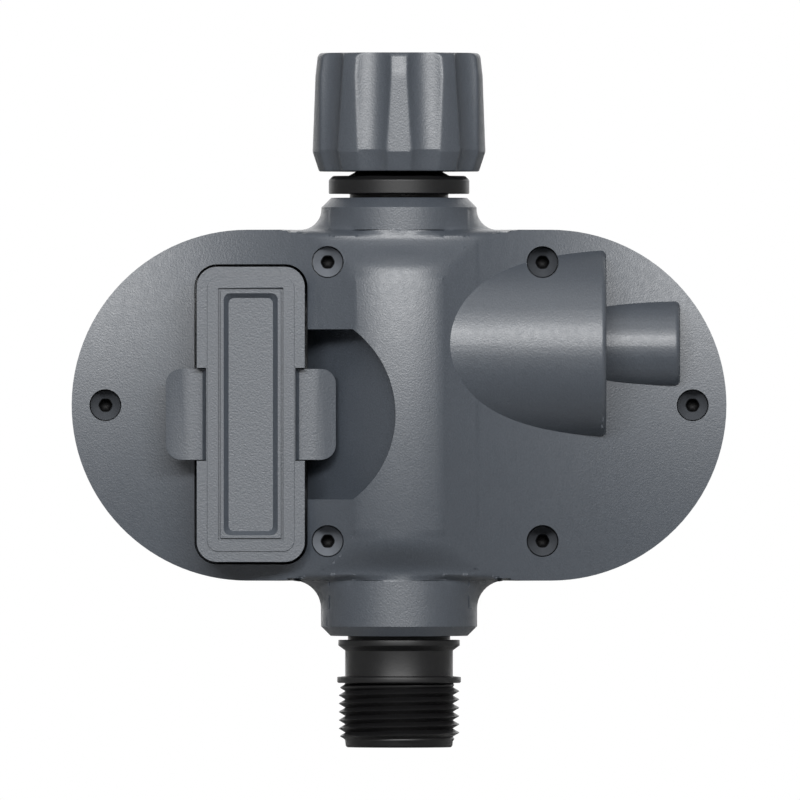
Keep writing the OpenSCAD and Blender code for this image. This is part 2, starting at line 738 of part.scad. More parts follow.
// The nut that screws onto the tap: ten flutes, deep at the mouth, that tuck in near its lower end
module inlet_nut() color(case_colour) {
    flute_h = nut_top - nut_bottom - flute_end;
    lean = atan((flute_depth - flute_low_depth) / flute_h);
    difference() {
        rotate_extrude() {
            polygon([[0, nut_bottom], [nut_r - 1.4, nut_bottom], [nut_r, nut_bottom + flute_end - 0.5],
                [nut_top_r, nut_top - 5], [nut_top_r - 0.45, nut_top - nut_edge_r],
                [nut_top_r - 0.45 - nut_edge_r, nut_top], [0, nut_top]]);
            translate([nut_top_r - 0.45 - nut_edge_r, nut_top - nut_edge_r]) circle(nut_edge_r);
        }
        for (a = [0 : 360 / flutes : 359]) rotate([0, 0, a + 180 / flutes - 90])
            translate([nut_r - flute_low_depth + flute_r, 0, nut_bottom + flute_end]) {
                rotate([0, -lean, 0]) cylinder(r = flute_r, h = 40);
                rotate([0, flute_tuck, 0]) translate([0, 0, -12]) cylinder(r = flute_r, h = 12);
            }
        translate([0, 0, nut_bottom - 1]) cylinder(r = spigot_r + journal_gap, h = 40);
        translate([0, 0, web_top_z]) cylinder(r = tap_relief_r, h = nut_top - tap_thread_len - web_top_z);
        translate([0, 0, web_top_z]) cylinder(r = tap_thread_r, h = 40);
    }
}

// Ball valve: the ball, its stem and what turns with them
module valve_ball() color(metal_colour) {
    translate([0, 0, valve_z]) difference() {
        sphere(ball_r);
        translate([0, -20, 0]) rotate([-90, 0, 0]) cylinder(r = ball_bore_r, h = 40);
        translate([ball_r - 2.8, -1.5, -3.5]) cube([5, 3, 7]);
        // Flat that clears the stem's shoulder
        rod_x(3.7, ball_r - 0.7, ball_r + 1);
    }
}

module valve_stem() color(metal_colour) {
    translate([0, 0, valve_z]) {
        difference() {
            union() {
                translate([ball_r - 2.7, -1.45, -3.4]) cube([2.2, 2.9, 6.8]);
                rod_x(stem_r, ball_r - 0.6, plane_four + gear_w);
            }
            for (x = [13, 16]) rotate([0, 90, 0]) ring(stem_r + 1, stem_r - 0.95, x - 0.6, x + 0.6);
            // Flat that drives the gear and the cam
            translate([stem_face_x + 0.5, -5, stem_r - 0.6]) cube([30, 10, 5]);
        }
        rod_x(pin_r, plane_four + gear_w - 0.1, plane_two + gear_w - 0.1);
    }
}

module stem_o_rings() color(black_colour) {
    for (x = [13, 16]) translate([x, 0, valve_z]) rotate([0, 90, 0])
        rotate_extrude() translate([stem_r - 0.46, 0]) circle(0.44, $fn = 32);
}

module d_bore(x0, w) {
    difference() {
        rod_x(stem_r + 0.02, x0 - 1, x0 + w + 1);
        translate([x0 - 2, -5, stem_r - 0.58]) cube([w + 4, 10, 5]);
    }
}

// Involute gear outline: polar angle of the flank at radius r, from the middle of the tooth
function involute(r, base) = r <= base ? 0 : (sqrt(r * r / (base * base) - 1) - acos(base / r) * PI / 180) * 180 / PI;

function half_tooth(r, pitch_r, base, teeth) =
    90 / teeth - tooth_play / pitch_r * 180 / PI + involute(pitch_r, base) - involute(r, base);

module gear_outline(teeth) {
    pitch_r = gear_module * teeth / 2;
    base = pitch_r * cos(pressure_angle);
    tip = pitch_r + gear_module;
    root = pitch_r - 1.25 * gear_module;
    steps = [max(base, root + 0.02), pitch_r, (pitch_r + tip) / 2, tip];
    circle(root, $fn = 96);
    for (i = [0 : teeth - 1]) rotate(i * 360 / teeth) polygon(concat(
        [[root - 0.3, -(root - 0.3) * tan(half_tooth(steps[0], pitch_r, base, teeth))]],
        [for (r = steps) let(a = half_tooth(r, pitch_r, base, teeth)) [r * cos(a), -r * sin(a)]],
        [for (j = [3 : -1 : 0]) let(r = steps[j], a = half_tooth(r, pitch_r, base, teeth))
            [r * cos(a), r * sin(a)]],
        [[root - 0.3, (root - 0.3) * tan(half_tooth(steps[0], pitch_r, base, teeth))]]));
}

// A gear between two places along X, with its first tooth turned to an angle from +Y
module gear_x(teeth, x0, x1, turn) {
    translate([x0, 0, 0]) rotate([90, 0, 90]) linear_extrude(x1 - x0) rotate(turn) gear_outline(teeth);
}

// On the valve axis a tooth points at the layshaft; on the layshaft a gap points back
gap_turn = 180 + 180 / wheel_teeth;
pinion_gap_turn = 180 + 180 / pinion_teeth;

module output_gear() color(pale_colour) {
    translate([0, 0, valve_z]) difference() {
        gear_x(wheel_teeth, plane_four, plane_four + gear_w, 0);
        d_bore(plane_four, gear_w);
    }
}

module gear_three() color(pale_colour) {
    translate([0, gear_distance, valve_z]) difference() {
        union() {
            gear_x(pinion_teeth, plane_four - 0.2, plane_three + 0.01, pinion_gap_turn);
            gear_x(wheel_teeth, plane_three, plane_three + gear_w, gap_turn);
        }
        rod_x(pin_r + journal_gap, 0, 60);
    }
}

module gear_two() color(pale_colour) {
    translate([0, 0, valve_z]) difference() {
        union() {
            gear_x(pinion_teeth, plane_three, plane_two + 0.01, 0);
            gear_x(wheel_teeth, plane_two, plane_two + gear_w, 0);
        }
        rod_x(pin_r + journal_gap, 0, 60);
    }
}

module gear_one() color(pale_colour) {
    translate([0, gear_distance, valve_z]) difference() {
        union() {
            gear_x(pinion_teeth, plane_two, plane_one + 0.01, pinion_gap_turn);
            gear_x(wheel_teeth, plane_one, plane_one + gear_w, gap_turn);
        }
        rod_x(pin_r + journal_gap, 0, 60);
    }
}

module motor_pinion() color(metal_colour) {
    translate([0, 0, valve_z]) {
        gear_x(pinion_teeth, plane_one, plane_one + gear_w, 0);
        rod_x(0.75, plane_one + gear_w - 0.1, motor_x + 4);
    }
}

module position_cam() color(black_colour) {
    translate([0, 0, valve_z]) difference() {
        union() {
            rod_x(4.6, cam_x, cam_x + cam_w);
            intersection() {
                rod_x(6, cam_x, cam_x + cam_w);
                translate([cam_x, -2, 0]) cube([cam_w, 4, 8]);
            }
        }
        d_bore(cam_x, cam_w);
    }
}

module limit_switches() color(black_colour) {
    for (a = [90, 180]) translate([stem_face_x + base_plate_t, 0, valve_z]) rotate([a, 0, 0])
        translate([0, 6.3, -2.6]) cube([2.8, 3, 5.2]);
}

module gearbox_plan(r) {
    for (y = [0, gear_distance]) translate([y, 0]) circle(r);
    translate([0, -r]) square([gear_distance, 2 * r]);
}

module gearbox_block(r, x0, x1) {
    translate([x0, 0, valve_z]) rotate([90, 0, 90]) linear_extrude(x1 - x0) gearbox_plan(r);
}

module gearbox_case() color(black_colour) {
    difference() {
        gearbox_block(gearbox_r, stem_face_x, cover_plate_x);
        gearbox_block(gearbox_in_r, stem_face_x + base_plate_t, cover_plate_x + 1);
        translate([0, 0, valve_z]) rod_x(stem_r + 0.1, 0, 40);
        translate([0, gear_distance, valve_z]) rod_x(pin_r, 0, 40);
    }
}

module gearbox_cover() color(black_colour) {
    difference() {
        gearbox_block(gearbox_r, cover_plate_x, motor_x);
        translate([0, 0, valve_z]) rod_x(1.8, 0, 60);
        translate([0, gear_distance, valve_z]) rod_x(pin_r, 0, 60);
    }
}

module layshaft_pin() color(metal_colour) {
    translate([0, gear_distance, valve_z]) rod_x(pin_r, stem_face_x, motor_x);
}

module drive_motor() color(metal_colour) {
    translate([0, 0, valve_z]) difference() {
        union() {
            rod_x(motor_r, motor_x, motor_x + motor_len);
            rod_x(2.5, motor_x + motor_len - 0.1, motor_x + motor_len + 1);
            for (s = [-1, 1]) translate([motor_x + motor_len - 0.1, s * 4 - 0.25, -1]) cube([1, 0.5, 2]);
        }
        rod_x(0.8, motor_x - 1, motor_x + 5);
    }
}

// Battery bay, tray, cells and cover
module battery_bay() color(case_colour) {
    translate([-cover_x, 0, cover_z]) {
        difference() {
            union() {
                along_y(bay_mouth_y, bay_end_y) round_rect(bay_w, bay_h, 2);
                along_y(well_floor_y + wall, well_floor_y + wall + 1.6)
                    round_rect(bay_w + 2, bay_h + 2, 3);
            }
            along_y(bay_mouth_y - 1, bay_end_y - bay_wall) round_rect(bay_in_w, bay_in_h, 0.6);
        }
    }
}

module bay_contacts() color(metal_colour) {
    for (s = [-1, 1]) translate([-cover_x - 3, bay_end_y, cover_z + s * 18]) {
        translate([0, 0.01, -2.5]) cube([6, 0.4, 5]);
        translate([2, 0.4, -0.8]) cube([2, 0.6, 1.6]);
    }
}

function cell_y(i) = tray_front + 0.6 + cell_gap / 2 + cell_pitch * (i + 0.5);

module battery_tray() color(black_colour) {
    translate([-cover_x, 0, cover_z]) difference() {
        translate([-tray_w / 2, tray_front, -tray_h / 2]) cube([tray_w, tray_len, tray_h]);
        for (i = [0 : cells - 1]) translate([0, cell_y(i), -tray_h / 2 + tray_wall])
            cylinder(r = cell_d / 2 + cell_gap / 2, h = tray_h - 2 * tray_wall);
        translate([-tray_w / 2 - 1, tray_front + 0.6 + cell_d / 2, -tray_h / 2 + tray_wall])
            cube([tray_w / 2 + 1, tray_len - cell_d - 1.2, tray_h - 2 * tray_wall]);
        translate([-tray_w / 2 - 1, tray_front + 2, -tray_h / 2 + 6])
            cube([tray_w / 2 - 1, tray_len - 4, tray_h - 12]);
    }
}

module battery_cells() color(black_colour) {
    for (i = [0 : cells - 1]) translate([-cover_x, cell_y(i), cover_z]) mirror([0, 0, i % 2]) {
        translate([0, 0, -cell_len / 2 - 0.5]) cylinder(r = cell_d / 2, h = cell_len);
        translate([0, 0, cell_len / 2 - 0.6]) cylinder(r = 2.7, h = 1.1);
    }
}

module tray_contacts() color(metal_colour) {
    for (s = [-1, 1], i = [0 : cells - 1])
        translate([-cover_x - 3.5, cell_y(i) - 3.5, cover_z + s * (tray_h / 2 - tray_wall - 0.2) - 0.15])
            cube([7, 7, 0.3]);
}

// One squeeze tab in plan: a leaf that dips beside the cover and swings out
module tab_plan() {
    out = tab_span / 2;
    side = panel_w / 2 - 0.4;
    low = tray_front - 0.6;
    polygon([[side, low - 1], [side + 0.6, low - 0.2], [side + 2, low], [side + 4, low - 0.5],
        [side + 5.4, low - 1.2], [out, low - 1.5], [out, low - 1.5 - 1.5], [side + 5, low - 2.7],
        [side + 3.6, low - 2.1], [side + 2.2, low - 1.6], [side + 1.2, low - 1.8], [side + 0.6, low - 2.6],
        [side + 0.4, -cover_back + 0.6], [side - 1, -cover_back + 0.6], [side - 1, low - 1]]);
}

module battery_cover() color(case_colour) {
    translate([-cover_x, 0, cover_z]) {
        difference() {
            union() {
                difference() {
                    along_y(-cover_back + 0.3, skirt_end_y) round_rect(cover_w, cover_h, cover_r);
                    along_y(-cover_back + cap_t, skirt_end_y + 1)
                        round_rect(cover_w - 2 * tab_wall, cover_h - 2 * tab_wall, cover_r - tab_wall);
                    // Gaps in the rim where the tabs pass
                    for (s = [-1, 1]) translate([s * cover_w / 2, 0, 0])
                        along_y(-30, 5) square([2 * cover_rim, tab_h + 0.4], center = true);
                }
                along_y(-cover_back, -cover_back + cap_t) round_rect(panel_w - 0.5, panel_h - 0.5, 2.5);
                intersection() {
                    for (s = [0, 1]) mirror([s, 0, 0])
                        translate([0, 0, -tab_h / 2]) linear_extrude(tab_h) tab_plan();
                    along_y(-30, 10) round_rect(tab_span, tab_h, tab_r);
                }
                // Neck that joins the cover to the tray
                along_y(-cover_back + 1, tray_front) square([9, 30], center = true);
            }
            // Square-cornered groove round the grip recess
            along_y(-cover_back - 1, -cover_back + 0.6) difference() {
                square([14.2, 55.1], center = true);
                square([13.2, 54.1], center = true);
            }
            // Grip recess with sloping sides
            hull() {
                along_y(-cover_back - 0.02, -cover_back) round_rect(11.8, 52.9, 1.4, $fn = 32);
                along_y(-cover_back + 1.3, -cover_back + 1.32) round_rect(9.7, 50.9, 1.2, $fn = 32);
            }
        }
    }
}

module cover_seal() color(black_colour) {
    translate([-cover_x, 0, cover_z]) difference() {
        along_y(-cover_back + cap_t, bay_mouth_y - 0.02) round_rect(bay_w, bay_h, 2);
        along_y(-cover_back, bay_mouth_y + 1) round_rect(bay_in_w, bay_in_h, 1);
    }
}

// Circuit board and what it carries
module main_board() color(board_colour) {
    difference() {
        translate([board_x, 0, 0]) along_y(board_y, board_y + board_t) round_rect(board_w, board_h, 3);
        for (x = [board_x - board_w / 2 + 5, board_x + board_w / 2 - 12], z = [-1, 1])
            translate([x, 0, z * (board_h / 2 - 4)]) rod_y(1.2, 0, 60);
    }
}

module radio_module() color(metal_colour) {
    translate([32, board_y + board_t, -8]) cube([18, 2.8, 16]);
    translate([31, board_y + board_t, 8.2]) cube([20, 0.8, 6]);
}

module board_components() color(black_colour) {
    for (p = [[8, -14], [20, -14], [24, 6]]) translate([p[0], board_y - 7, p[1]]) cube([7, 7, 5]);
    translate([2, board_y, 16]) rod_y(3.1, -9, 0);
    translate([44, board_y - 2, -4]) cube([8, 2, 8]);
}

module button_switch() color(black_colour) {
    translate([-3, board_y + board_t, -3]) cube([6, switch_h, 6]);
    rod_y(1.7, board_y + board_t + switch_h - 0.1, board_y + board_t + switch_h + 0.7);
}

module status_light() color(pale_colour) {
    translate([-1.2, board_y + board_t, light_z - 1]) cube([2.4, 1.2, 2]);
}

module light_pipe() color([0.9, 0.95, 0.95, 0.6]) {
    translate([0, 0, light_z]) {
        rod_y(light_r, board_y + board_t + 1.6, front_y + 0.2);
        rod_y(light_r + 0.8, board_y + board_t + 1.6, front_y - 6.1);
    }
}

module push_button() color(case_colour) {
    difference() {
        union() {
            rod_y(button_r, front_y - 2.8, front_y + button_proud);
            rod_y(button_r + 1, front_y - 3.8, front_y - 2.8);
            rod_y(button_stem_r, board_y + board_t + switch_h + 0.7 + button_travel + 0.1, front_y - 3.6);
        }
        rod_y(button_r - 1.5, front_y + button_proud - 0.5, front_y + 9);
    }
}

module button_seal() color(black_colour) {
    difference() {
        rod_y(button_r + 3, front_y - 6.6, front_y - 5.42);
        rod_y(button_stem_r + 0.06, 0, 60);
    }
}

hang() rear_housing();
hang() front_housing();
hang() housing_seal();
hang() housing_screws();
hang() valve_body();
hang() inlet_spigot();
hang() outlet_connector();
hang() nut_retaining_ring();
hang() connector_o_rings();
hang() ball_seats();
hang() filter_washer();
hang() flow_straightener();
hang() rotor_frame();
hang() gearbox_case();
hang() gearbox_cover();
hang() layshaft_pin();
hang() drive_motor();
hang() limit_switches();
hang() battery_bay();
hang() bay_contacts();
hang() main_board();
hang() radio_module();
hang() board_components();
hang() button_switch();
hang() status_light();
hang() light_pipe();
hang() button_seal();
hang() flow_sensor();
hang() inlet_nut();
hang() valve_ball();
hang() valve_stem();
hang() stem_o_rings();
hang() output_gear();
hang() position_cam();
hang() gear_one();
hang() gear_two();
hang() gear_three();
hang() motor_pinion();
hang() flow_rotor();
hang() rotor_magnet();
hang() battery_tray();
hang() battery_cells();
hang() tray_contacts();
hang() battery_cover();
hang() cover_seal();
hang() push_button();
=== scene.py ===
"""Looks of the smart water timer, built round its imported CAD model.

Every piece is in metres in the record's frame: the origin is the middle of the tap nut's mouth,
X runs right seen from the rear, +Y runs to the front and +Z runs up to the tap.
"""

import logging
import math
from dataclasses import dataclass, field
from enum import Enum

import bmesh
import bpy
import numpy as np
from mathutils import Matrix, Vector


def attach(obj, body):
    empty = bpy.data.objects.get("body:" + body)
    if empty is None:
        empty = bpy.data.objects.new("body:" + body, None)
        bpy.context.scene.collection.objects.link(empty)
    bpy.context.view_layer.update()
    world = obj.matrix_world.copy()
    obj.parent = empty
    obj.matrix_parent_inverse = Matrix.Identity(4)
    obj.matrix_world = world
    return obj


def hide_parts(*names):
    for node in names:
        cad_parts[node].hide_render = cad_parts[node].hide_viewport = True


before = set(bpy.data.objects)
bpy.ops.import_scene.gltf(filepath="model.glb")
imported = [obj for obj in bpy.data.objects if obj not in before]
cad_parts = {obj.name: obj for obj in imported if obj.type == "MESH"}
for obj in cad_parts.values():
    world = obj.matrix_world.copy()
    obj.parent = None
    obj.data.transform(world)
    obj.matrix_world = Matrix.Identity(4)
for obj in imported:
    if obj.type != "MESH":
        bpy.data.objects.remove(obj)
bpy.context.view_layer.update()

LOG = logging.getLogger("water_timer")
MM = 0.001
# Points closer than this, in metres, are one
DOUBLES = 2e-6
# Middle of the case below the nut's mouth
CASE_MIDDLE_Z = -77.1


class Slot(Enum):
    """Material slots of the record."""

    CASE = "case_plastic"
    NYLON = "black_nylon"
    RUBBER = "black_rubber"
    PALE = "white_plastic"
    STEEL = "steel"
    DARK_STEEL = "dark_steel"
    BOARD = "circuit_board"
    CLEAR = "clear_plastic"
    WRAP = "cell_wrap"


def rgb(red: float, green: float, blue: float) -> tuple[float, float, float, float]:
    """Turns a display colour of 0 to 255 into the linear colour that a shader takes.

    Args:
        red, green, blue: the colour as a screen shows it, 0 to 255.

    Returns:
        Linear red, green and blue with a full alpha.
    """
    shown = np.array([red, green, blue]) / 255.0
    linear = np.where(shown <= 0.04045, shown / 12.92, ((shown + 0.055) / 1.055) ** 2.4)
    return (float(linear[0]), float(linear[1]), float(linear[2]), 1.0)


@dataclass(frozen=True)
class Value:
    """A socket with a number on it, on which Python's operators add Math nodes."""

    graph: "Graph"
    socket: bpy.types.NodeSocket

    def _math(self, operation: str, *others: "Value | float", clamp: bool = False) -> "Value":
        """Adds one Math node that takes this value first."""
        settings = {"operation": operation, "use_clamp": clamp}
        return self.graph.add("ShaderNodeMath", settings, dict(enumerate((self, *others))))

    def __add__(self, other: "Value | float") -> "Value":
        """This value plus another."""
        return self._math("ADD", other)

    def __sub__(self, other: "Value | float") -> "Value":
        """This value less another."""
        return self._math("SUBTRACT", other)

    def __mul__(self, other: "Value | float") -> "Value":
        """This value times another."""
        return self._math("MULTIPLY", other)

    def __gt__(self, other: "Value | float") -> "Value":
        """1 where this value is greater, else 0."""
        return self._math("GREATER_THAN", other)

    def sine(self) -> "Value":
        """The sine of this value in radians."""
        return self._math("SINE")

    def clamped(self) -> "Value":
        """This value held between 0 and 1."""
        return self._math("ADD", 0.0, clamp=True)


class Graph:
    """The node tree of one material, with one method that adds any node."""

    def __init__(self, name: str) -> None:
        """Makes an empty material of that name with its output node."""
        self.material = bpy.data.materials.new(name)
        self.material.use_nodes = True
        self.tree = self.material.node_tree
        self.tree.nodes.clear()
        self.output = self.tree.nodes.new("ShaderNodeOutputMaterial")

    def add(
        self,
        kind: str,
        settings: dict[str, object] | None = None,
        inputs: dict[str | int, object] | None = None,
        out: str | int = 0,
    ) -> Value:
        """Adds a node, sets it and fills its sockets.

        Args:
            kind: the node's type, such as ShaderNodeMath.
            settings: the node's own settings.
            inputs: a number, colour or Value for each socket, by name or place.
            out: the output that is handed back.

        Returns:
            The chosen output as a Value.
        """
        node = self.tree.nodes.new(kind)
        for key, value in (settings or {}).items():
            setattr(node, key, value)
        for key, value in (inputs or {}).items():
            if isinstance(value, Value):
                self.tree.links.new(value.socket, node.inputs[key])
            else:
                node.inputs[key].default_value = value
        return Value(self, node.outputs[out])

    def place(self) -> Value:
        """The point on the piece, in metres in the record's frame."""
        return self.add("ShaderNodeTexCoord", out="Object")

    def noise(self, scale: float, detail: float = 2.0, roughness: float = 0.5) -> Value:
        """Noise of that many cells a metre, 0 to 1."""
        settings = {"noise_dimensions": "3D"}
        sockets = {"Vector": self.place(), "Scale": scale, "Detail": detail, "Roughness": roughness}
        return self.add("ShaderNodeTexNoise", settings, sockets)

    def mix(self, share: Value | float, first: object, second: object) -> Value:
        """A colour between two, second where share is 1."""
        settings = {"data_type": "RGBA"}
        return self.add("ShaderNodeMix", settings, {0: share, 6: first, 7: second}, out=2)

    def bump(self, height: Value, depth: float, normal: Value | None = None) -> Value:
        """A normal from a height of 0 to 1 that stands for depth metres."""
        sockets: dict[str | int, object] = {"Height": height, "Distance": depth, "Strength": 1.0}
        if normal is not None:
            sockets["Normal"] = normal
        return self.add("ShaderNodeBump", None, sockets)

    def finish(self, shader: Value) -> bpy.types.Material:
        """Links the shader to the output and hands the material back."""
        self.tree.links.new(shader.socket, self.output.inputs["Surface"])
        return self.material


@dataclass(frozen=True)
class Finish:
    """One finish of the timer, as procedural nodes on Object coordinates.

    The colour moves between two tones with a fine grain and a slow mottling, and the same grain
    gives the surface its bump. All scales are in cells a metre and depths in metres.
    """

    slot: Slot
    colour: tuple[float, float, float, float]
    roughness: float
    metallic: float = 0.0
    grain: float = 4200.0
    grain_depth: float = 0.00002
    grain_tone: float = 0.10
    mottle: float = 60.0
    mottle_tone: float = 0.05
    gloss_spread: float = 0.06
    coat: float = 0.0
    specular: float = 0.5

    def tone(self, factor: float) -> tuple[float, float, float, float]:
        """The colour times a factor."""
        red, green, blue, alpha = self.colour
        return (red * factor, green * factor, blue * factor, alpha)

    def colours(self, graph: Graph, grain: Value) -> Value:
        """The colour over the surface: mottled, then speckled by the grain."""
        slow = graph.noise(self.mottle, 3.0)
        broad = graph.mix(slow, self.tone(1 - self.mottle_tone), self.tone(1 + self.mottle_tone))
        dark, pale = ((1 + side * self.grain_tone,) * 3 + (1,) for side in (-1, 1))
        speck = graph.mix(grain, dark, pale)
        settings = {"data_type": "RGBA", "blend_type": "MULTIPLY", "clamp_result": False}
        return graph.add("ShaderNodeMix", settings, {0: 1.0, 6: broad, 7: speck}, out=2)

    def relief(self, graph: Graph, grain: Value) -> Value:
        """The normal of the moulded grain."""
        return graph.bump(grain, self.grain_depth)

    def build(self) -> bpy.types.Material:
        """Makes the material."""
        graph = Graph(self.slot.value)
        grain = graph.noise(self.grain, 2.0, 0.6)
        roughness = graph.noise(self.grain * 0.3, 1.0) * (2 * self.gloss_spread)
        sockets = {
            "Base Color": self.colours(graph, grain),
            "Roughness": roughness + (self.roughness - self.gloss_spread),
            "Metallic": self.metallic,
            "Coat Weight": self.coat,
            "Specular IOR Level": self.specular,
            "Normal": self.relief(graph, grain),
        }
        return graph.finish(graph.add("ShaderNodeBsdfPrincipled", None, sockets))


@dataclass(frozen=True)
class Turned(Finish):
    """A metal with fine tool marks across Z, for screws, contacts and shafts."""

    metallic: float = 1.0
    marks: float = 9000.0
    marks_depth: float = 0.000006

    def relief(self, graph: Graph, grain: Value) -> Value:
        """The normal of the grain with fine rings of tool marks in it."""
        split = graph.add("ShaderNodeSeparateXYZ", None, {0: graph.place()}, out="Z")
        rings = (split * self.marks).sine() * 0.5 + 0.5
        return graph.bump(rings, self.marks_depth, graph.bump(grain, self.grain_depth))


@dataclass(frozen=True)
class Laminate(Finish):
    """A circuit board: lacquer over copper tracks that run in straight lines."""

    pitch: float = 0.0021
    gap: float = 0.42
    lacquer: float = 0.7
    copper: tuple[float, float, float, float] = rgb(58, 128, 84)

    def colours(self, graph: Graph, grain: Value) -> Value:
        """Board green with paler tracks under the lacquer."""
        settings = {"feature": "F1", "distance": "CHEBYCHEV", "voronoi_dimensions": "3D"}
        sockets = {"Vector": graph.place(), "Scale": 1 / self.pitch}
        tracks = graph.add("ShaderNodeTexVoronoi", settings, sockets) > self.gap
        return graph.mix(tracks * self.lacquer, self.colour, self.copper)


@dataclass(frozen=True)
class Clear(Finish):
    """The light pipe's clear plastic, frosted by its moulded grain."""

    transmission: float = 0.85
    refraction: float = 1.49

    def build(self) -> bpy.types.Material:
        """Makes the material with light passing through it."""
        graph = Graph(self.slot.value)
        grain = graph.noise(self.grain, 2.0, 0.6)
        sockets = {
            "Base Color": self.colours(graph, grain),
            "Roughness": self.roughness,
            "Transmission Weight": self.transmission,
            "IOR": self.refraction,
            "Normal": self.relief(graph, grain),
        }
        return graph.finish(graph.add("ShaderNodeBsdfPrincipled", None, sockets))


@dataclass(frozen=True)
class Wrap(Finish):
    """A finish in two colours: a cell's dark sleeve and its band, or a screw's head and the painted
    shade in its drive and dish.
    """

    band: tuple[float, float, float, float] = rgb(176, 118, 62)

    def colours(self, graph: Graph, grain: Value) -> Value:
        """The colour, read from the band mask that the piece's mesh carries; on the screws the mask
        marks painted shade.
        """
        mask = graph.add("ShaderNodeAttribute", {"attribute_name": "band"}, out="Fac")
        return graph.mix(mask, self.colour, self.band)


FINISHES: tuple[Finish, ...] = (
    Finish(
        Slot.CASE, rgb(67, 73, 81), 0.43, grain=2600.0, grain_depth=0.00005, grain_tone=0.3, specular=1.0
    ),
    Finish(Slot.NYLON, rgb(17, 17, 18), 0.44, grain=2600.0, grain_depth=0.000012),
    Finish(Slot.RUBBER, rgb(22, 22, 22), 0.7, grain=5200.0, grain_depth=0.00001),
    Finish(Slot.PALE, rgb(214, 213, 206), 0.45, grain=1800.0, grain_depth=0.000008, grain_tone=0.03),
    Turned(Slot.STEEL, rgb(176, 174, 170), 0.34, grain=3000.0, grain_depth=0.000003),
    # The screws' second tone is painted shade: near black in the drive's hole and, by a share, on the
    # dish of the deeper screws
    Wrap(
        Slot.DARK_STEEL, rgb(108, 112, 118), 0.5, grain=5200.0, grain_depth=0.000008, specular=0.15,
        band=rgb(8, 8, 9),
    ),
    Laminate(Slot.BOARD, rgb(28, 84, 54), 0.35, coat=0.6),
    Clear(Slot.CLEAR, rgb(236, 242, 242), 0.22, grain_depth=0.000004),
    Wrap(Slot.WRAP, rgb(38, 40, 44), 0.28, grain=900.0, grain_depth=0.000004, coat=0.5),
)


def grid_faces(rows: int, columns: int, shift: int = 0) -> np.ndarray:
    """Quads of a grid that closes round its columns.

    Args:
        rows: points along the profile.
        columns: points round the axis.
        shift: rows by which a helical grid climbs in one turn.

    Returns:
        An array of four vertex numbers a face, vertex row * columns + column.
    """
    row, column = np.meshgrid(np.arange(rows - 1), np.arange(columns), indexing="ij")
    after = (column + 1) % columns
    climb = np.where(column == columns - 1, shift, 0)
    keep = row + climb + 1 < rows
    row, column, after, climb = row[keep], column[keep], after[keep], climb[keep]
    quads = [
        row * columns + column,
        (row + climb) * columns + after,
        (row + climb + 1) * columns + after,
        (row + 1) * columns + column,
    ]
    return np.stack(quads, axis=1)


@dataclass
class Surface:
    """Points and faces of one piece, gathered from several stretches that share their edges."""

    points: list[np.ndarray] = field(default_factory=list)
    faces: list[np.ndarray] = field(default_factory=list)
    masks: list[np.ndarray] = field(default_factory=list)
    count: int = 0

    def add(self, points: np.ndarray, faces: np.ndarray, mask: np.ndarray | None = None) -> None:
        """Adds a stretch, its faces counted from its own first point."""
        points = points.reshape(-1, 3)
        self.points.append(points)
        self.faces.append(faces + self.count)
        self.masks.append(np.zeros(len(points)) if mask is None else mask.reshape(-1))
        self.count += len(points)

    def turned(self, radius: np.ndarray, height: np.ndarray, columns: int) -> None:
        """Adds a profile turned round Z.

        A point is (r cos a, r sin a, z), with the radius r given once for each row, or for each
        row and column.

        Args:
            radius: radii, shape (rows,) or (rows, columns).
            height: heights, shape (rows,).
            columns: points round the axis.
        """
        angle = np.linspace(0, 2 * math.pi, columns, endpoint=False)
        wide = radius[:, None] if radius.ndim == 1 else radius
        wide = np.broadcast_to(wide, (len(height), columns))
        tall = np.broadcast_to(height[:, None], wide.shape)
        points = np.stack([wide * np.cos(angle), wide * np.sin(angle), tall], axis=-1)
        self.add(points, grid_faces(len(height), columns))

    def threaded(self, thread: "Thread", columns: int) -> None:
        """Adds a threaded wall, whose rows climb with the helix so that its crests stay sharp."""
        points, faces = thread.wall(columns)
        self.add(points, faces)

    def moved(self, matrix: Matrix) -> "Surface":
        """A copy of this surface moved by a matrix."""
        turn = np.array(matrix)[:3, :3]
        shift = np.array(matrix)[:3, 3]
        points = [p @ turn.T + shift for p in self.points]
        return Surface(points, list(self.faces), list(self.masks), self.count)

    def join(self, other: "Surface") -> None:
        """Adds all of another surface."""
        for points, faces, mask, start in zip(other.points, other.faces, other.masks, other.starts()):
            self.add(points, faces - start, mask)

    def starts(self) -> list[int]:
        """The number of each stretch's first point."""
        return [0, *np.cumsum([len(p) for p in self.points])[:-1].tolist()]

    def object(self, name: str, sharp_degrees: float = 40.0) -> bpy.types.Object:
        """Makes the piece: doubles merged, faces outwards, smooth but for its sharp edges.

        Args:
            name: the object's name.
            sharp_degrees: edges that turn by more than this stay sharp.

        Returns:
            The new object, at the origin.
        """
        mesh = bpy.data.meshes.new(name)
        mesh.from_pydata(np.concatenate(self.points) * MM, [], np.concatenate(self.faces))
        band = mesh.attributes.new("band", "FLOAT", "POINT")
        band.data.foreach_set("value", np.concatenate(self.masks).astype(np.float32))
        return closed_object(name, mesh, sharp_degrees)


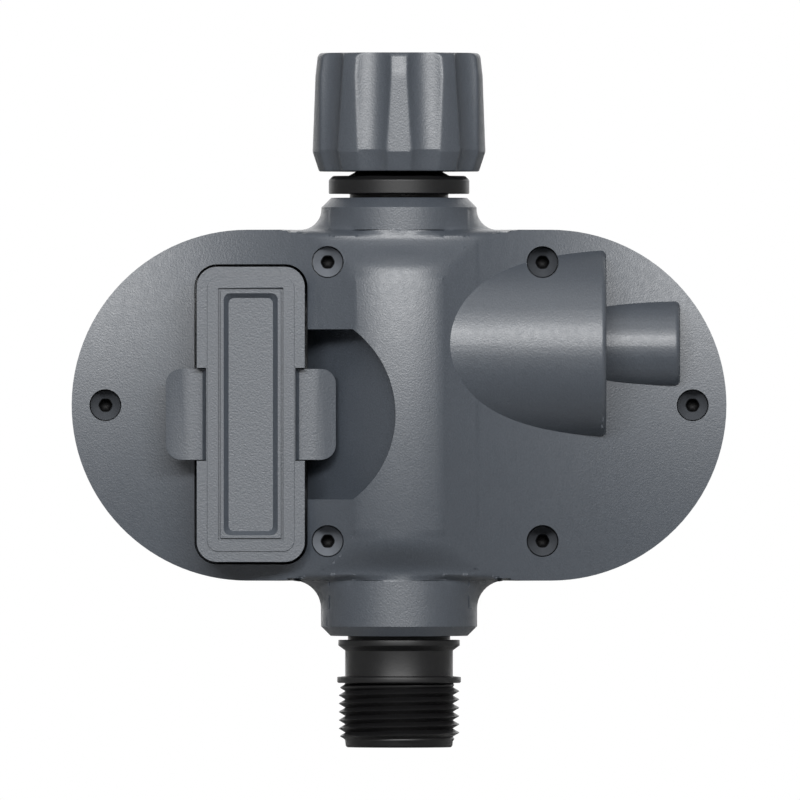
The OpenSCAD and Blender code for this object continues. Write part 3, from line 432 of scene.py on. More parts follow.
def closed_object(name: str, mesh: bpy.types.Mesh, sharp_degrees: float) -> bpy.types.Object:
    """Merges a mesh's doubles, points its faces outwards and shades it.

    Args:
        name: the object's name.
        mesh: the mesh, changed in place.
        sharp_degrees: edges that turn by more than this stay sharp.

    Returns:
        The new object, linked to the scene.
    """
    work = bmesh.new()
    work.from_mesh(mesh)
    bmesh.ops.remove_doubles(work, verts=work.verts, dist=DOUBLES)
    bmesh.ops.recalc_face_normals(work, faces=work.faces)
    loose = [e for e in work.edges if len(e.link_faces) != 2]
    work.to_mesh(mesh)
    work.free()
    mesh.shade_smooth()
    mesh.set_sharp_from_angle(angle=math.radians(sharp_degrees))
    piece = bpy.data.objects.new(name, mesh)
    bpy.context.scene.collection.objects.link(piece)
    LOG.info("%s: %d faces, %d open edges", name, len(mesh.polygons), len(loose))
    return piece


@dataclass(frozen=True)
class Thread:
    """A helical thread on a round wall, in millimetres.

    The wall's radius is root + (crest - root) * ridge(x), where x is the share of a pitch at a
    point, (z - start) / pitch - a / 2 pi less its whole part, and ridge rises in a straight line
    to 1 at x = 1/2 and falls again. It fades to nothing over fade at each end.
    """

    root: float
    crest: float
    low: float
    high: float
    pitch: float
    start: float = 0.0
    fade: float = 1.2
    crest_flat: float = 0.06
    root_flat: float = 0.04
    steps: int = 10

    def wall(self, columns: int) -> tuple[np.ndarray, np.ndarray]:
        """Points and faces of the wall from low to high."""
        below = math.floor((self.low - self.start) / self.pitch) - 1
        turns = math.ceil((self.high - self.low) / self.pitch) + 3
        row = np.arange(turns * self.steps + 1)[:, None]
        column = np.arange(columns)[None, :]
        share = (row % self.steps) / self.steps
        rise = row / self.steps + column / columns
        height = np.clip(self.start + self.pitch * (below + rise), self.low, self.high)
        ridge = 1 - np.abs(2 * share - 1)
        ridge = np.clip((ridge - self.root_flat) / (1 - self.root_flat - self.crest_flat), 0, 1)
        ends = np.minimum(height - self.low, self.high - height) / self.fade
        ridge = ridge * np.clip(ends, 0, 1)
        radius = self.root + (self.crest - self.root) * ridge
        angle = 2 * math.pi * column / columns
        points = np.stack([radius * np.cos(angle), radius * np.sin(angle), height], axis=-1)
        return points, grid_faces(len(row), columns, self.steps)


def profile(
    *corners: tuple[float, float], soft: float = 0.0, arc: int = 4
) -> tuple[np.ndarray, np.ndarray]:
    """Radii and heights of a profile whose inner corners are rounded.

    Each corner is replaced by a quadratic curve that starts and ends soft millimetres from it.

    Args:
        corners: (radius, height) from one end to the other.
        soft: how far from a corner its rounding starts.
        arc: points on each rounding.

    Returns:
        The radii and the heights.
    """
    flat = np.array(corners, float)
    if soft <= 0:
        return flat[:, 0], flat[:, 1]
    rows = [flat[:1]]
    share = np.linspace(0, 1, arc)[:, None]
    for before, corner, after in zip(flat[:-2], flat[1:-1], flat[2:]):
        reach = min(soft, np.linalg.norm(corner - before) * 0.45, np.linalg.norm(after - corner) * 0.45)
        enter = corner + (before - corner) / max(np.linalg.norm(before - corner), 1e-9) * reach
        leave = corner + (after - corner) / max(np.linalg.norm(after - corner), 1e-9) * reach
        rows.append((1 - share) ** 2 * enter + 2 * share * (1 - share) * corner + share**2 * leave)
    rows.append(flat[-1:])
    joined = np.concatenate(rows)
    return joined[:, 0], joined[:, 1]


def smooth(share: np.ndarray) -> np.ndarray:
    """0 below 0, 1 above 1 and 3 s^2 - 2 s^3 between."""
    held = np.clip(share, 0, 1)
    return held * held * (3 - 2 * held)


def read_points(mesh: bpy.types.Mesh) -> np.ndarray:
    """A mesh's points in millimetres, shape (points, 3)."""
    flat = np.empty(len(mesh.vertices) * 3, np.float32)
    mesh.vertices.foreach_get("co", flat)
    return flat.reshape(-1, 3).astype(float) / MM


def write_points(mesh: bpy.types.Mesh, points: np.ndarray) -> None:
    """Puts points in millimetres back on their mesh."""
    mesh.vertices.foreach_set("co", (points * MM).astype(np.float32).reshape(-1))
    mesh.update()


@dataclass(frozen=True)
class Crown:
    """The vertical curve of the case's back and its flare into both necks. Millimetres.

    With t the height from the case's middle, a point behind the joint moves forward by
    w t^2 / 2R, where w falls from 1 at the valve axis to 0 at the joint. The barrel and the
    necks then lie on a depth E(x, t) of their own. In the middle it falls from the barrel's
    depth to the neck's by 1 - (1 - u^2)^4, with u from 0 at the neck to 1 where the shoulder
    starts. Across, it is an ellipse that meets the hollow sweep at the sweep's edge, and at the
    neck the neck's circle, stretched to the outline of its fillet.
    """

    radius: float = 200.0
    joint: float = 14.0
    barrel: float = 24.2
    necks: tuple[float, float] = (17.0, 17.1)
    lobe: float = 38.4
    neck_foot: float = 37.4
    shoulder: float = 9.5
    fillets: tuple[float, float] = (4.6, 6.1)
    # X, depth and radius of the sweep's axis, then X, height and radius of its round corners
    sweep: tuple[float, float, float] = (74.7, 110.8, 110.0)
    corner: tuple[float, float, float] = (26.4, 21.4, 17.0)
    # Strip below the lobes' top that follows the necks, and the part of it that turns into them
    brim: float = 2.3
    blend: float = 1.4
    # Radii just inside the necks' and the barrel's outer skin
    in_neck: float = 16.9
    in_barrel: float = 21.95
    # Wall kept between both skins, and the height from which the inner one gives way to it
    kept_wall: float = 1.2
    inside_from: float = 20.0
    # Depth of the sweep's lowest line, where the full lift is reached
    sweep_back: float = 0.8
    # Reach from the pipe axis of the necks' flare and of the ridge at the lobes' top
    flare_reach: float = 21.7
    ridge_reach: float = 27.0
    ridge_start: float = 2.0
    # Where the ridge fades into the sweep, and over what length
    fade: tuple[float, float] = (21.6, 5.0)
    # Share of the neck's depth that stays a circle where its fillet stretches it
    round_share: float = 0.6
    # How the outline opens below the lobes' top: its factor and its power
    opening: tuple[float, float] = (12.0, 0.6)
    # How far a point may be from a plane, and on it
    near_by: float = 0.05
    on_it: float = 0.01
    # Width of the slivers that are merged after the cuts
    sliver: float = 0.03

    def lift(self, height: np.ndarray) -> np.ndarray:
        """How far the back moves forward at a height from the middle."""
        return np.minimum(np.abs(height), self.lobe) ** 2 / (2 * self.radius)

    def outline(self, height: np.ndarray) -> np.ndarray:
        """Half the width of the neck with its fillet at a height from the middle."""
        round_off = np.where(height > 0, *self.fillets)
        rise = np.clip(np.abs(height) - self.lobe, 0, round_off)
        at_neck = self.necks[0] + round_off - np.sqrt(round_off**2 - (round_off - rise) ** 2)
        factor, power = self.opening
        return at_neck + factor * np.clip(self.lobe - np.abs(height), 0, None) ** power

    def hollow(self, across: np.ndarray, height: np.ndarray) -> np.ndarray:
        """Depth of the hollow sweep behind the valve axis."""
        middle, back, radius = self.sweep
        reach = np.clip(middle - across, 0, None)
        return back - np.sqrt(radius**2 - reach**2) - self.lift(height)

    def edge(self, height: np.ndarray) -> np.ndarray:
        """Distance of the sweep's edge from the pipe axis."""
        x, level, radius = self.corner
        rise = np.clip(np.abs(height) - level, 0, radius)
        return x - np.sqrt(radius**2 - rise**2)

    def depth(self, x: np.ndarray, height: np.ndarray) -> np.ndarray:
        """Depth of the barrel's shoulder and of the neck behind the valve axis."""
        tall, across = np.abs(height), np.abs(x)
        neck = np.where(height > 0, *self.necks)
        u = np.clip((self.neck_foot - tall) / self.shoulder, 0, 1)
        middle = neck + (self.barrel - self.lift(height) - neck) * (1 - (1 - u**2) ** 4)
        edge = self.edge(height)
        meets = np.clip(self.hollow(edge, height) / middle, 0, 0.99)
        width = edge / np.sqrt(1 - meets**2)
        wide = middle * np.sqrt(np.clip(1 - (across / width) ** 2, 0, 1))
        bend = middle * self.round_share
        reach = (across - bend) * (middle - bend) / (self.outline(height) - bend)
        inner = np.where(across < bend, across, bend + reach)
        flare = np.sqrt(np.clip(middle**2 - inner**2, 0, None))
        share = smooth((tall - self.lobe + self.blend) / self.blend)
        start, length = self.fade
        ramp = self.hollow(across, height) * smooth((across - start) / length)
        on_lobe = tall <= self.lobe + self.on_it
        return np.maximum(wide + (flare - wide) * share, np.where(on_lobe, ramp, 0))

    def cuts(self, work: bmesh.types.BMesh) -> None:
        """Cuts the mesh where it has to bend: level cuts, and upright ones across the middle.

        The level cuts stand closer towards the neck. Slivers beside a cut are merged.
        """
        levels = np.concatenate([
            np.arange(0, 26, 2.6), np.arange(26, 35, 0.8), np.arange(35, 44.6, 0.4)
        ])
        planes = [(0, 0, side * level, (0, 0, 1)) for level in levels for side in (-1, 1)]
        planes += [(side * x, 0, 0, (1, 0, 0)) for x in np.arange(10, 27, 0.8) for side in (-1, 1)]
        for x, y, z, normal in planes:
            whole = work.verts[:] + work.edges[:] + work.faces[:]
            place = (x * MM, y, (z + CASE_MIDDLE_Z) * MM)
            bmesh.ops.bisect_plane(work, geom=whole, dist=1e-7, plane_co=place, plane_no=normal)
        bmesh.ops.remove_doubles(work, verts=work.verts, dist=self.sliver * MM)

    def apply(self, mesh: bpy.types.Mesh) -> None:
        """Bends a mesh, whose coordinates are metres, in place."""
        work = bmesh.new()
        work.from_mesh(mesh)
        self.cuts(work)
        work.to_mesh(mesh)
        work.free()
        points = read_points(mesh)
        x, y, height = points[:, 0], points[:, 1], points[:, 2] - CASE_MIDDLE_Z
        tall, across, away = np.abs(height), np.abs(x), np.hypot(x, y)
        share = np.clip((self.joint - y) / (self.joint + self.sweep_back), 0, 1)
        bent = y + share * self.lift(height)
        skin = self.depth(x, height)
        # The neck, then the barrel's shoulder, lie on the new skin
        behind = y < -self.on_it
        on_top = tall > self.lobe - self.near_by
        over = tall > self.lobe - self.brim
        outside = away > self.in_neck
        neck = on_top & behind & outside & (across < self.flare_reach)
        near = (across < self.edge(height) + self.near_by) & behind
        high = near & over & (tall < self.lobe - self.near_by + self.on_it) & outside
        low = near & ~over & (tall > self.neck_foot - self.shoulder) & (away > self.in_barrel)
        edge = on_top & (tall < self.lobe + self.on_it)
        ridge = edge & (y < -self.ridge_start) & (across < self.ridge_reach)
        inside = near & ~over & (away < self.in_barrel) & (tall > self.inside_from)
        bent = np.where(inside, np.maximum(bent, self.kept_wall - skin), bent)
        bent = np.where(tall > self.lobe + self.on_it, y, bent)
        points[:, 1] = np.where(neck | high | low | ridge, -skin, bent)
        write_points(mesh, points)


@dataclass(frozen=True)
class TabTilt:
    """The slope of the squeeze tabs, which fall away from the cover on both sides. Millimetres."""

    # X and height of the cover's middle, then half the cover's width and half the tabs' height
    middle: tuple[float, float] = (-32.4, -2.0)
    half: tuple[float, float] = (12.0, 10.2)
    slope: float = 0.46

    def apply(self, mesh: bpy.types.Mesh) -> None:
        """Moves the tabs' outer points forward by slope times their distance from the cover."""
        points = read_points(mesh)
        beside = np.abs(points[:, 0] - self.middle[0]) - self.half[0]
        level = np.abs(points[:, 2] - CASE_MIDDLE_Z - self.middle[1]) < self.half[1]
        points[:, 1] += np.where(level, self.slope * np.clip(beside, 0, None), 0)
        write_points(mesh, points)


class Bench:
    """Where pieces are dressed: it knows the materials and ties each piece to the frame."""

    # Faces that meet at less than flat_degrees become one, and edges over sharp_degrees are rounded
    flat_degrees: float = 0.6
    sharp_degrees: float = 32.0

    def __init__(self) -> None:
        """Builds every material once."""
        self.materials = {f.slot: f.build() for f in FINISHES}

    def dress(
        self,
        piece: bpy.types.Object,
        body: str,
        slot: Slot,
        replaces: tuple[str, ...] = (),
    ) -> bpy.types.Object:
        """Gives a piece its finish, its body and the nodes it stands for.

        Args:
            piece: an object at the origin.
            body: the CAD body it rides on.
            slot: the record's material slot.
            replaces: CAD nodes that it stands for.

        Returns:
            The piece.
        """
        piece.data.materials.clear()
        piece.data.materials.append(self.materials[slot])
        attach(piece, body)
        if replaces:
            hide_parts(*replaces)
        LOG.info("%s rides on %s", piece.name, body)
        return piece

    def carry(self, node: str, slot: Slot) -> None:
        """Keeps a CAD node as it is, under a better material."""
        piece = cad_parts[node]
        piece.data.materials.clear()
        piece.data.materials.append(self.materials[slot])

    def rounded(
        self, node: str, body: str, slot: Slot, edge: float, shape: Crown | TabTilt | None = None
    ) -> bpy.types.Object:
        """Stands a merged copy of a CAD node in for it, with its sharp edges rounded.

        Args:
            node: the CAD node.
            body: its body.
            slot: its material slot.
            edge: width of the rounding in millimetres.
            shape: the bend that the piece gets first, if any.

        Returns:
            The new piece, named after the node.
        """
        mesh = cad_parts[node].data.copy()
        work = bmesh.new()
        work.from_mesh(mesh)
        bmesh.ops.remove_doubles(work, verts=work.verts, dist=DOUBLES)
        flat = math.radians(self.flat_degrees)
        bmesh.ops.dissolve_limit(work, angle_limit=flat, verts=work.verts, edges=work.edges)
        work.to_mesh(mesh)
        work.free()
        if shape is not None:
            shape.apply(mesh)
        sharp = math.radians(self.sharp_degrees)
        for name in ("custom_normal", "sharp_face"):
            if name in mesh.attributes:
                mesh.attributes.remove(mesh.attributes[name])
        mesh.shade_smooth()
        mesh.set_sharp_from_angle(angle=sharp)
        piece = bpy.data.objects.new(node + "_moulded", mesh)
        bpy.context.scene.collection.objects.link(piece)
        bevel = piece.modifiers.new("edge", "BEVEL")
        bevel.width = edge * MM
        bevel.segments = 2
        bevel.limit_method = "ANGLE"
        bevel.angle_limit = sharp
        bevel.use_clamp_overlap = True
        bevel.harden_normals = True
        bevel.miter_outer = "MITER_ARC"
        return self.dress(piece, body, slot, (node,))


@dataclass
class TapNut:
    """The nut that screws onto the tap: ten flutes outside, a pipe thread inside. Millimetres."""

    mouth: float = 0.0
    bottom: float = -25.9
    radius: float = 19.2
    top_radius: float = 18.75
    lip: float = 1.3
    flutes: int = 10
    flute_radius: float = 6.0
    top_depth: float = 2.8
    low_depth: float = 1.15
    flute_end: float = 4.7
    tuck: float = 16.0
    spigot_bore: float = 9.55
    web_top: float = -18.6
    slant: float = 0.3
    columns: int = 400
    # Width over which flute and barrel blend, and the share of it that the blend stays out
    edge: float = 0.22
    fullness: float = 0.6
    # Rows on the round lip
    lip_rows: int = 8
    # Radii and heights of the bevel from the mouth down to the thread
    bevel: tuple[float, ...] = (14.2, 13.9, 13.2)
    bevel_levels: tuple[float, ...] = (0.0, -0.06, -0.9)
    thread: Thread = Thread(root=13.2, crest=12.08, low=-12.6, high=-0.9, pitch=1.814, steps=8)

    def barrel(self, height: np.ndarray) -> np.ndarray:
        """Radius without flutes: a cone between the widest place and the lip."""
        return np.interp(
            height,
            [self.bottom, self.bottom + self.flute_end - 0.5, self.mouth - 5, self.mouth - self.lip],
            [self.radius - 1.4, self.radius, self.top_radius, self.top_radius - 0.45],
        )

    def fluted(self, barrel: np.ndarray, height: np.ndarray) -> np.ndarray:
        """Radius with the flutes cut in.

        A flute is a cylinder of radius F whose axis stands d from the nut's axis, so at an angle a
        from its middle its surface is at d cos a - sqrt(F^2 - d^2 sin^2 a). The nut is the
        smaller of that and its barrel, blended over edge by a smooth minimum.

        Args:
            barrel: radii without flutes, shape (rows,).
            height: heights, shape (rows,).

        Returns:
            Radii, shape (rows, columns).
        """
        angle = np.linspace(0, 2 * math.pi, self.columns, endpoint=False)
        step = 2 * math.pi / self.flutes
        middle = -math.pi / 2 + step / 2
        off = (angle - middle + step / 2) % step - step / 2
        start = self.bottom + self.flute_end
        lean = (self.top_depth - self.low_depth) / (self.mouth - start)
        slope = np.where(height > start, lean, -math.tan(math.radians(self.tuck)))
        distance = self.radius - self.low_depth + self.flute_radius - slope * (height - start)
        across = distance[:, None] * np.sin(off)[None, :]
        inside = np.maximum(self.flute_radius**2 - across**2, 0)
        flute = distance[:, None] * np.cos(off)[None, :] - np.sqrt(inside)
        wide = np.broadcast_to(barrel[:, None], flute.shape)
        mean, half = (wide + flute) / 2, self.edge / 2
        return mean - np.sqrt(((wide - flute) / 2) ** 2 + half**2) + half * self.fullness

    def build(self, bench: Bench) -> None:
        """Builds the nut."""
        body = Surface()
        kink = self.bottom + self.flute_end
        # Rows up the flutes, closest where they bend
        rise = np.concatenate([
            np.linspace(self.bottom + 0.4, kink - 0.9, 6),
            np.linspace(kink - 0.8, kink + 0.4, 10),
            np.linspace(kink + 1.0, self.mouth - self.lip, 22),
        ])
        outer = self.fluted(self.barrel(rise), rise)
        turn = np.linspace(0, math.pi / 2, self.lip_rows + 1)[1:]
        tall = self.mouth - self.lip + self.lip * np.sin(turn)
        shrink = self.lip * (1 - np.cos(turn))
        under = np.full(self.lip_rows, self.mouth - self.lip)
        lip = self.fluted(self.barrel(under) - shrink, tall)
        lip[-1] = np.minimum(lip[-1], self.top_radius)
        inward = [np.full((1, self.columns), r) for r in self.bevel]
        # The flat foot, from the spigot's bore out to a small slope under the flutes
        foot = self.fluted(self.barrel(rise[:1]), rise[:1])
        start = [np.full((1, self.columns), self.spigot_bore), foot - 1.6, foot - 0.4, foot - 0.12]
        low = self.bottom + np.array([0.0, 0.0, 0.0, 0.12])
        radius = np.concatenate([*start, outer, lip, *inward])
        body.turned(radius, np.concatenate([low, rise, tall, self.bevel_levels]), self.columns)
        body.threaded(self.thread, self.columns)
        wide, bore, top, slant = self.thread.root, self.spigot_bore, self.web_top, self.slant
        web = np.array([wide, wide, bore + slant, bore, bore])
        level = np.array([self.thread.low, top, top, top - slant, self.bottom])
        body.turned(web, level, self.columns)
        bench.dress(body.object("tap_nut", 34.0), "nut", Slot.CASE, ("inlet_nut",))


@dataclass
class HoseOutlet:
    """The black outlet: plug, neck, two flanges and the male hose thread. Millimetres."""

    columns: int = 160
    edge: float = 0.12
    thread: Thread = Thread(
        root=11.8, crest=13.2, low=-150.6, high=-137.9, pitch=1.814, start=-138.8, steps=12
    )

    def build(self, bench: Bench) -> None:
        """Builds the outlet."""
        body = Surface()
        # The plug with its O-ring's groove, the neck, the first flange, the tube and the flange
        # over the thread
        upper = profile(
            (8, -102.2), (10.8, -102.2), (10.8, -104.1), (9.15, -104.1), (9.15, -106), (10.8, -106),
            (10.8, -113.2), (11.2, -113.2), (11.2, -128.5), (13.3, -128.5), (13.3, -129.7),
            (11.8, -130.8), (11.8, -136.4), (13.55, -136.6), (13.55, -137.7), (13.3, -137.9),
            (self.thread.root, self.thread.high), soft=self.edge,
        )
        # The plain end and the bore
        lower = profile(
            (self.thread.root, self.thread.low), (11.7, -151.6), (11.4, -152), (8.3, -152),
            (8, -151.7), (8, -102.2), soft=self.edge,
        )
        body.turned(*upper, self.columns)
        body.threaded(self.thread, self.columns)
        body.turned(*lower, self.columns)
        bench.dress(body.object("hose_outlet", 30.0), "root", Slot.NYLON, ("outlet_connector",))


@dataclass
class CaseScrews:
    """Six case screws with dished heads, a round drive with six lobes and a coarse thread."""

    # X, height above the case's middle, depth of the head's rim, length under it and the share of
    # painted shade that darkens its dish
    places: tuple[tuple[float, float, float, float, float], ...] = (
        (-64.3, 0.0, 1.4, 20.0, 0.6),
        (64.3, 0.0, 1.4, 20.0, 0.6),
        (31.4, 31.3, -6.0, 28.0, 0.6),
        (31.4, -29.7, -6.0, 28.0, 0.6),
        (-15.6, 31.3, -15.2, 38.0, 0.0),
        (-15.6, -29.7, -15.2, 38.0, 0.0),
    )
    crown: Crown = Crown()
    columns: int = 48
    lobe_depth: float = 0.04
    head: float = 3.3
    shank: float = 1.5
    core: float = 1.18
    pitch: float = 1.1
    # Heights below the head's rim, from the tip of the drive out over the dish and under the head
    steps: tuple[float, ...] = (3.9, 3.0, 1.5, 1.38, 1.27, 0.1, 0.0, 0.05, 0.2, 1.85, 2.0, 2.0)
    # Height below the rim past which the drive's hole is painted black as shade
    drive_depth: float = 1.3

    def screw(self, length: float, painted_shade: float) -> Surface:
        """One screw, head at 0 and its shank along +Z, its drive's hole painted black as shade and its
        dish darkened by a share of painted shade.
        """
        made = Surface()
        angle = np.linspace(0, 2 * math.pi, self.columns, endpoint=False)
        lobes = 1 + self.lobe_depth * np.cos(6 * angle)
        around = np.ones(self.columns)
        socket = np.array([0.0, 1.22, 1.30, 1.42])[:, None] * lobes
        dish = np.array([1.6, 3.0, 3.16, self.head - 0.02, self.head])[:, None] * around
        rim = np.array([self.head, 3.2, self.shank])[:, None] * around
        height = np.array(self.steps)
        made.turned(np.concatenate([socket, dish, rim]), height, self.columns)
        # The drive's hole is painted black as shade, the dish takes its share of painted shade and the
        # rim none
        made.masks[-1] = np.repeat(np.where(height > self.drive_depth, 1.0, painted_shade), self.columns)
        made.masks[-1][-len(rim) * self.columns:] = 0.0
        start = length * 0.35
        thread = Thread(self.core, self.shank, start, length - 1.2, self.pitch, fade=1.6, steps=6)
        under = np.array([self.steps[-1], length * 0.34, thread.low])
        made.turned(np.array([self.shank, self.shank, self.core]), under, self.columns)
        made.threaded(thread, self.columns)
        tip = np.array([thread.high, length - 0.2, length])
        made.turned(np.array([self.core, 0.9, 0.0]), tip, self.columns)
        return made

    def build(self, bench: Bench) -> None:
        """Builds all six as one piece."""
        every = Surface()
        for x, height, depth, length, painted_shade in self.places:
            seat = depth + float(self.crown.lift(np.array(height)))
            lie = Matrix.Rotation(-math.pi / 2, 4, "X")
            stand = Matrix.Translation((x, seat, CASE_MIDDLE_Z + height)) @ lie
            every.join(self.screw(length, painted_shade).moved(stand))
        bench.dress(every.object("case_screws", 35.0), "root", Slot.DARK_STEEL, ("housing_screws",))


@dataclass
class Cells:
    """Four cells side by side, end about in turn, each in its sleeve."""

    # X and height of their middle, depth of the first cell's axis, and from axis to axis
    x: float = -32.4
    middle: float = CASE_MIDDLE_Z - 2.0
    first: float = -3.3
    pitch: float = 14.4
    count: int = 4
    radius: float = 7.1
    length: float = 49.0
    # Length of the coloured band, and the button's shift of each cell along the drawer
    band: float = 12.7
    shift: float = 0.5
    columns: int = 56

    def build(self, bench: Bench) -> None:
        """Builds the sleeves and the bare metal ends."""
        sleeves, ends = Surface(), Surface()
        half = self.length / 2
        end = self.band - half
        rows = np.array([-half + 0.5, -half + 0.9, end, end + 0.05, half - 1.0, half - 0.5])
        mask = np.array([1.0, 1.0, 1.0, 0.0, 0.0, 0.0])
        r = self.radius
        wide = np.array([r - 0.25, r, r, r, r, r - 0.3])
        tail = profile(
            (0.0, -half + 0.1), (5.2, -half + 0.1), (5.4, -half), (r - 0.7, -half),
            (r - 0.26, -half + 0.5), soft=0.2,
        )
        nose = profile(
            (r - 0.31, half - 0.5), (r - 0.8, half - 0.06), (3.1, half - 0.1), (2.7, half - 0.05),
            (2.7, half + 0.3), (2.2, half + 0.5), (0.0, half + 0.5), soft=0.15,
        )
        joins = [np.array([tail[k][-1], nose[k][0]]) for k in (0, 1)]
        for number in range(self.count):
            one, caps = Surface(), Surface()
            one.turned(wide, rows, self.columns)
            one.masks[-1] = np.repeat(mask, self.columns)
            inner = np.array([wide[-1], r - 0.6, r - 0.6, wide[0]])
            one.turned(inner, np.array([rows[-1], half - 0.9, -half + 0.9, rows[0]]), self.columns)
            for outline in (tail, nose):
                caps.turned(*outline, self.columns)
            caps.turned(*joins, self.columns)
            turned_over = number % 2
            y = self.first + self.pitch * number
            z = self.middle - self.shift * (1 - 2 * turned_over)
            stand = Matrix.Translation((self.x, y, z)) @ Matrix.Rotation(math.pi * turned_over, 4, "Y")
            sleeves.join(one.moved(stand))
            ends.join(caps.moved(stand))
        bench.dress(sleeves.object("cell_sleeves"), "battery_drawer", Slot.WRAP, ("battery_cells",))
        bench.dress(ends.object("cell_ends"), "battery_drawer", Slot.STEEL, ("battery_cells",))


@dataclass
class Carried:
    """CAD nodes that stay or are only rounded: their slot, and their rounding in millimetres."""

    rounded: tuple[tuple[str, str, Slot, float], ...] = (
        ("rear_housing", "root", Slot.CASE, 0.3),
        ("front_housing", "root", Slot.CASE, 0.3),
        ("battery_cover", "battery_drawer", Slot.CASE, 0.22),
        ("inlet_spigot", "root", Slot.NYLON, 0.2),
        ("battery_tray", "battery_drawer", Slot.NYLON, 0.2),
        ("battery_bay", "root", Slot.NYLON, 0.2),
        ("push_button", "button", Slot.CASE, 0.4),
    )
    kept: tuple[tuple[Slot, tuple[str, ...]], ...] = (
        (Slot.NYLON, ("valve_body", "gearbox_case", "gearbox_cover", "limit_switches",
                      "board_components", "button_switch", "flow_sensor", "position_cam")),
        (Slot.RUBBER, ("housing_seal", "connector_o_rings", "filter_washer", "stem_o_rings",
                       "button_seal", "cover_seal")),
        (Slot.PALE, ("ball_seats", "flow_straightener", "rotor_frame", "output_gear", "gear_one",
                     "gear_two", "gear_three", "flow_rotor", "status_light")),
        (Slot.STEEL, ("nut_retaining_ring", "layshaft_pin", "drive_motor", "bay_contacts",
                      "radio_module", "valve_ball", "valve_stem", "motor_pinion", "rotor_magnet",
                      "tray_contacts")),
        (Slot.BOARD, ("main_board",)),
        (Slot.CLEAR, ("light_pipe",)),
    )

    def build(self, bench: Bench) -> None:
        """Rounds the moulded parts and gives the rest their materials."""
        for node, body, slot, edge in self.rounded:
            shape = {"rear_housing": Crown(), "battery_cover": TabTilt()}.get(node)
            bench.rounded(node, body, slot, edge, shape)
        for slot, nodes in self.kept:
            for node in nodes:
                bench.carry(node, slot)


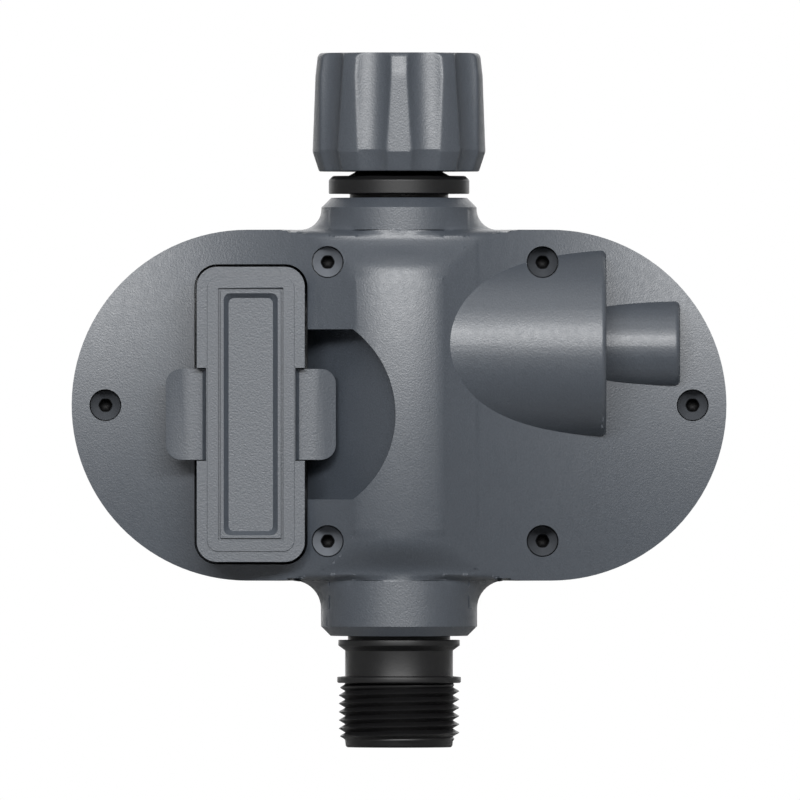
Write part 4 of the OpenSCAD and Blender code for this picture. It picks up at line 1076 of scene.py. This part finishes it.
@dataclass
class Studio:
    """Camera, soft lamps, white surround and the pale floor."""

    # The photograph is seen from so far away that its lines run parallel
    lens: float = 1400.0
    sensor: float = 36.0
    picture_width: float = 0.1752
    aim: tuple[float, float, float] = (0.00021, 0.0, -0.07596)
    # Light of the surround on the timer, and the share of it that mirrors see as white
    ambient: float = 0.06
    mirror_share: float = 0.3
    # Share of its own glow that the floor shows the camera, how nearly it has to be seen from its
    # side to glow fully, and how fast it does
    glow: float = 0.65
    grazing: float = 0.94
    onset: float = 30.0
    # Radii of the floor's rings in millimetres, and its depth below the case's middle
    rings: tuple[float, ...] = (1.0, 500.0, 5000.0)
    floor_drop: float = 75.0

    def camera(self) -> None:
        """Looks along +Y at the middle of the photograph."""
        data = bpy.data.cameras.new("camera")
        data.lens = self.lens
        data.sensor_width = self.sensor
        data.clip_start, data.clip_end = 0.1, 40.0
        view = bpy.data.objects.new("camera", data)
        distance = self.picture_width * self.lens / self.sensor
        view.location = (self.aim[0], -distance, self.aim[2])
        view.rotation_euler = (math.pi / 2, 0, 0)
        bpy.context.scene.collection.objects.link(view)
        bpy.context.scene.camera = view

    def lamp(self, name: str, place: tuple, target: tuple, size: tuple, power: float) -> None:
        """One rectangular soft box of white light.

        Args:
            name: the lamp's name.
            place: where it stands, in metres.
            target: the point it faces.
            size: its width and height in metres.
            power: its strength in watts.
        """
        data = bpy.data.lights.new(name, "AREA")
        data.shape = "RECTANGLE"
        data.size, data.size_y = size
        data.energy = power
        lamp = bpy.data.objects.new(name, data)
        lamp.location = place
        aim = Vector(target) - Vector(place)
        lamp.rotation_euler = aim.to_track_quat("-Z", "Y").to_euler()
        bpy.context.scene.collection.objects.link(lamp)

    def surround(self) -> None:
        """A soft grey world that the camera, mirrors and glass see as white."""
        world = bpy.data.worlds.new("studio")
        bpy.context.scene.world = world
        world.use_nodes = True
        tree = world.node_tree
        tree.nodes.clear()
        output = tree.nodes.new("ShaderNodeOutputWorld")
        path = tree.nodes.new("ShaderNodeLightPath")
        seen = path.outputs["Is Camera Ray"]
        for name in ("Is Glossy Ray", "Is Transmission Ray"):
            either = tree.nodes.new("ShaderNodeMath")
            either.operation = "MAXIMUM"
            share = tree.nodes.new("ShaderNodeMath")
            share.operation = "MULTIPLY"
            share.inputs[1].default_value = self.mirror_share
            tree.links.new(path.outputs[name], share.inputs[0])
            tree.links.new(seen, either.inputs[0])
            tree.links.new(share.outputs[0], either.inputs[1])
            seen = either.outputs[0]
        mix = tree.nodes.new("ShaderNodeMixShader")
        for socket, strength in ((1, self.ambient), (2, 1.0)):
            light = tree.nodes.new("ShaderNodeBackground")
            light.inputs["Strength"].default_value = strength
            light.inputs["Color"].default_value = (1, 1, 1, 1)
            tree.links.new(light.outputs[0], mix.inputs[socket])
        tree.links.new(seen, mix.inputs[0])
        tree.links.new(mix.outputs[0], output.inputs["Surface"])

    def floor(self) -> None:
        """A pale round floor under the outlet that keeps the timer's shadow.

        Seen from the side, the floor glows like the surround, so that no line cuts the white.
        Seen from below, it lets the eye through to the timer.
        """
        graph = Graph("floor")
        path = graph.add("ShaderNodeLightPath", out="Is Camera Ray")
        edge_on = graph.add("ShaderNodeLayerWeight", None, {"Blend": 0.5}, out="Facing")
        share = ((edge_on - self.grazing) * self.onset).clamped() * (1 - self.glow) + self.glow
        paint = {"Color": rgb(186, 186, 185), "Roughness": 0.6}
        diffuse = graph.add("ShaderNodeBsdfDiffuse", None, paint)
        glow = graph.add("ShaderNodeEmission", None, {"Color": (1, 1, 1, 1), "Strength": 1.0})
        pale = graph.add("ShaderNodeMixShader", None, {0: path * share, 1: diffuse, 2: glow})
        toward = graph.add("ShaderNodeNewGeometry", out="Incoming")
        rise = graph.add("ShaderNodeSeparateXYZ", None, {0: toward}, out="Z")
        clear = graph.add("ShaderNodeBsdfTransparent")
        below = (rise * -1.0) > 0.0
        shader = graph.add("ShaderNodeMixShader", None, {0: below, 1: pale, 2: clear})
        sheet = Surface()
        level = np.full(len(self.rings), CASE_MIDDLE_Z - self.floor_drop)
        sheet.turned(np.array(self.rings), level, 96)
        ground = sheet.object("floor")
        ground.data.materials.append(graph.finish(shader))

    def build(self) -> None:
        """Sets up the whole studio."""
        self.camera()
        self.surround()
        self.floor()
        self.lamp("key", (0.0, -1.48, 0.50), (0, 0, -0.07), (1.7, 0.25), 30.0)
        self.lamp("top", (0.0, -0.5, 1.1), (0, 0, -0.07), (0.6, 0.6), 1.5)
        self.lamp("front", (0.0, 1.6, 0.3), (0, 0, -0.08), (2.4, 1.4), 16.0)
        settings = bpy.context.scene.view_settings
        settings.view_transform = "Standard"


def main() -> None:
    """Builds the studio and every piece."""
    logging.basicConfig(level=logging.INFO, format="%(name)s %(message)s")
    bench = Bench()
    Studio().build()
    for assembly in (Carried(), TapNut(), HoseOutlet(), CaseScrews(), Cells()):
        assembly.build(bench)


if __name__ == "__main__":
    main()
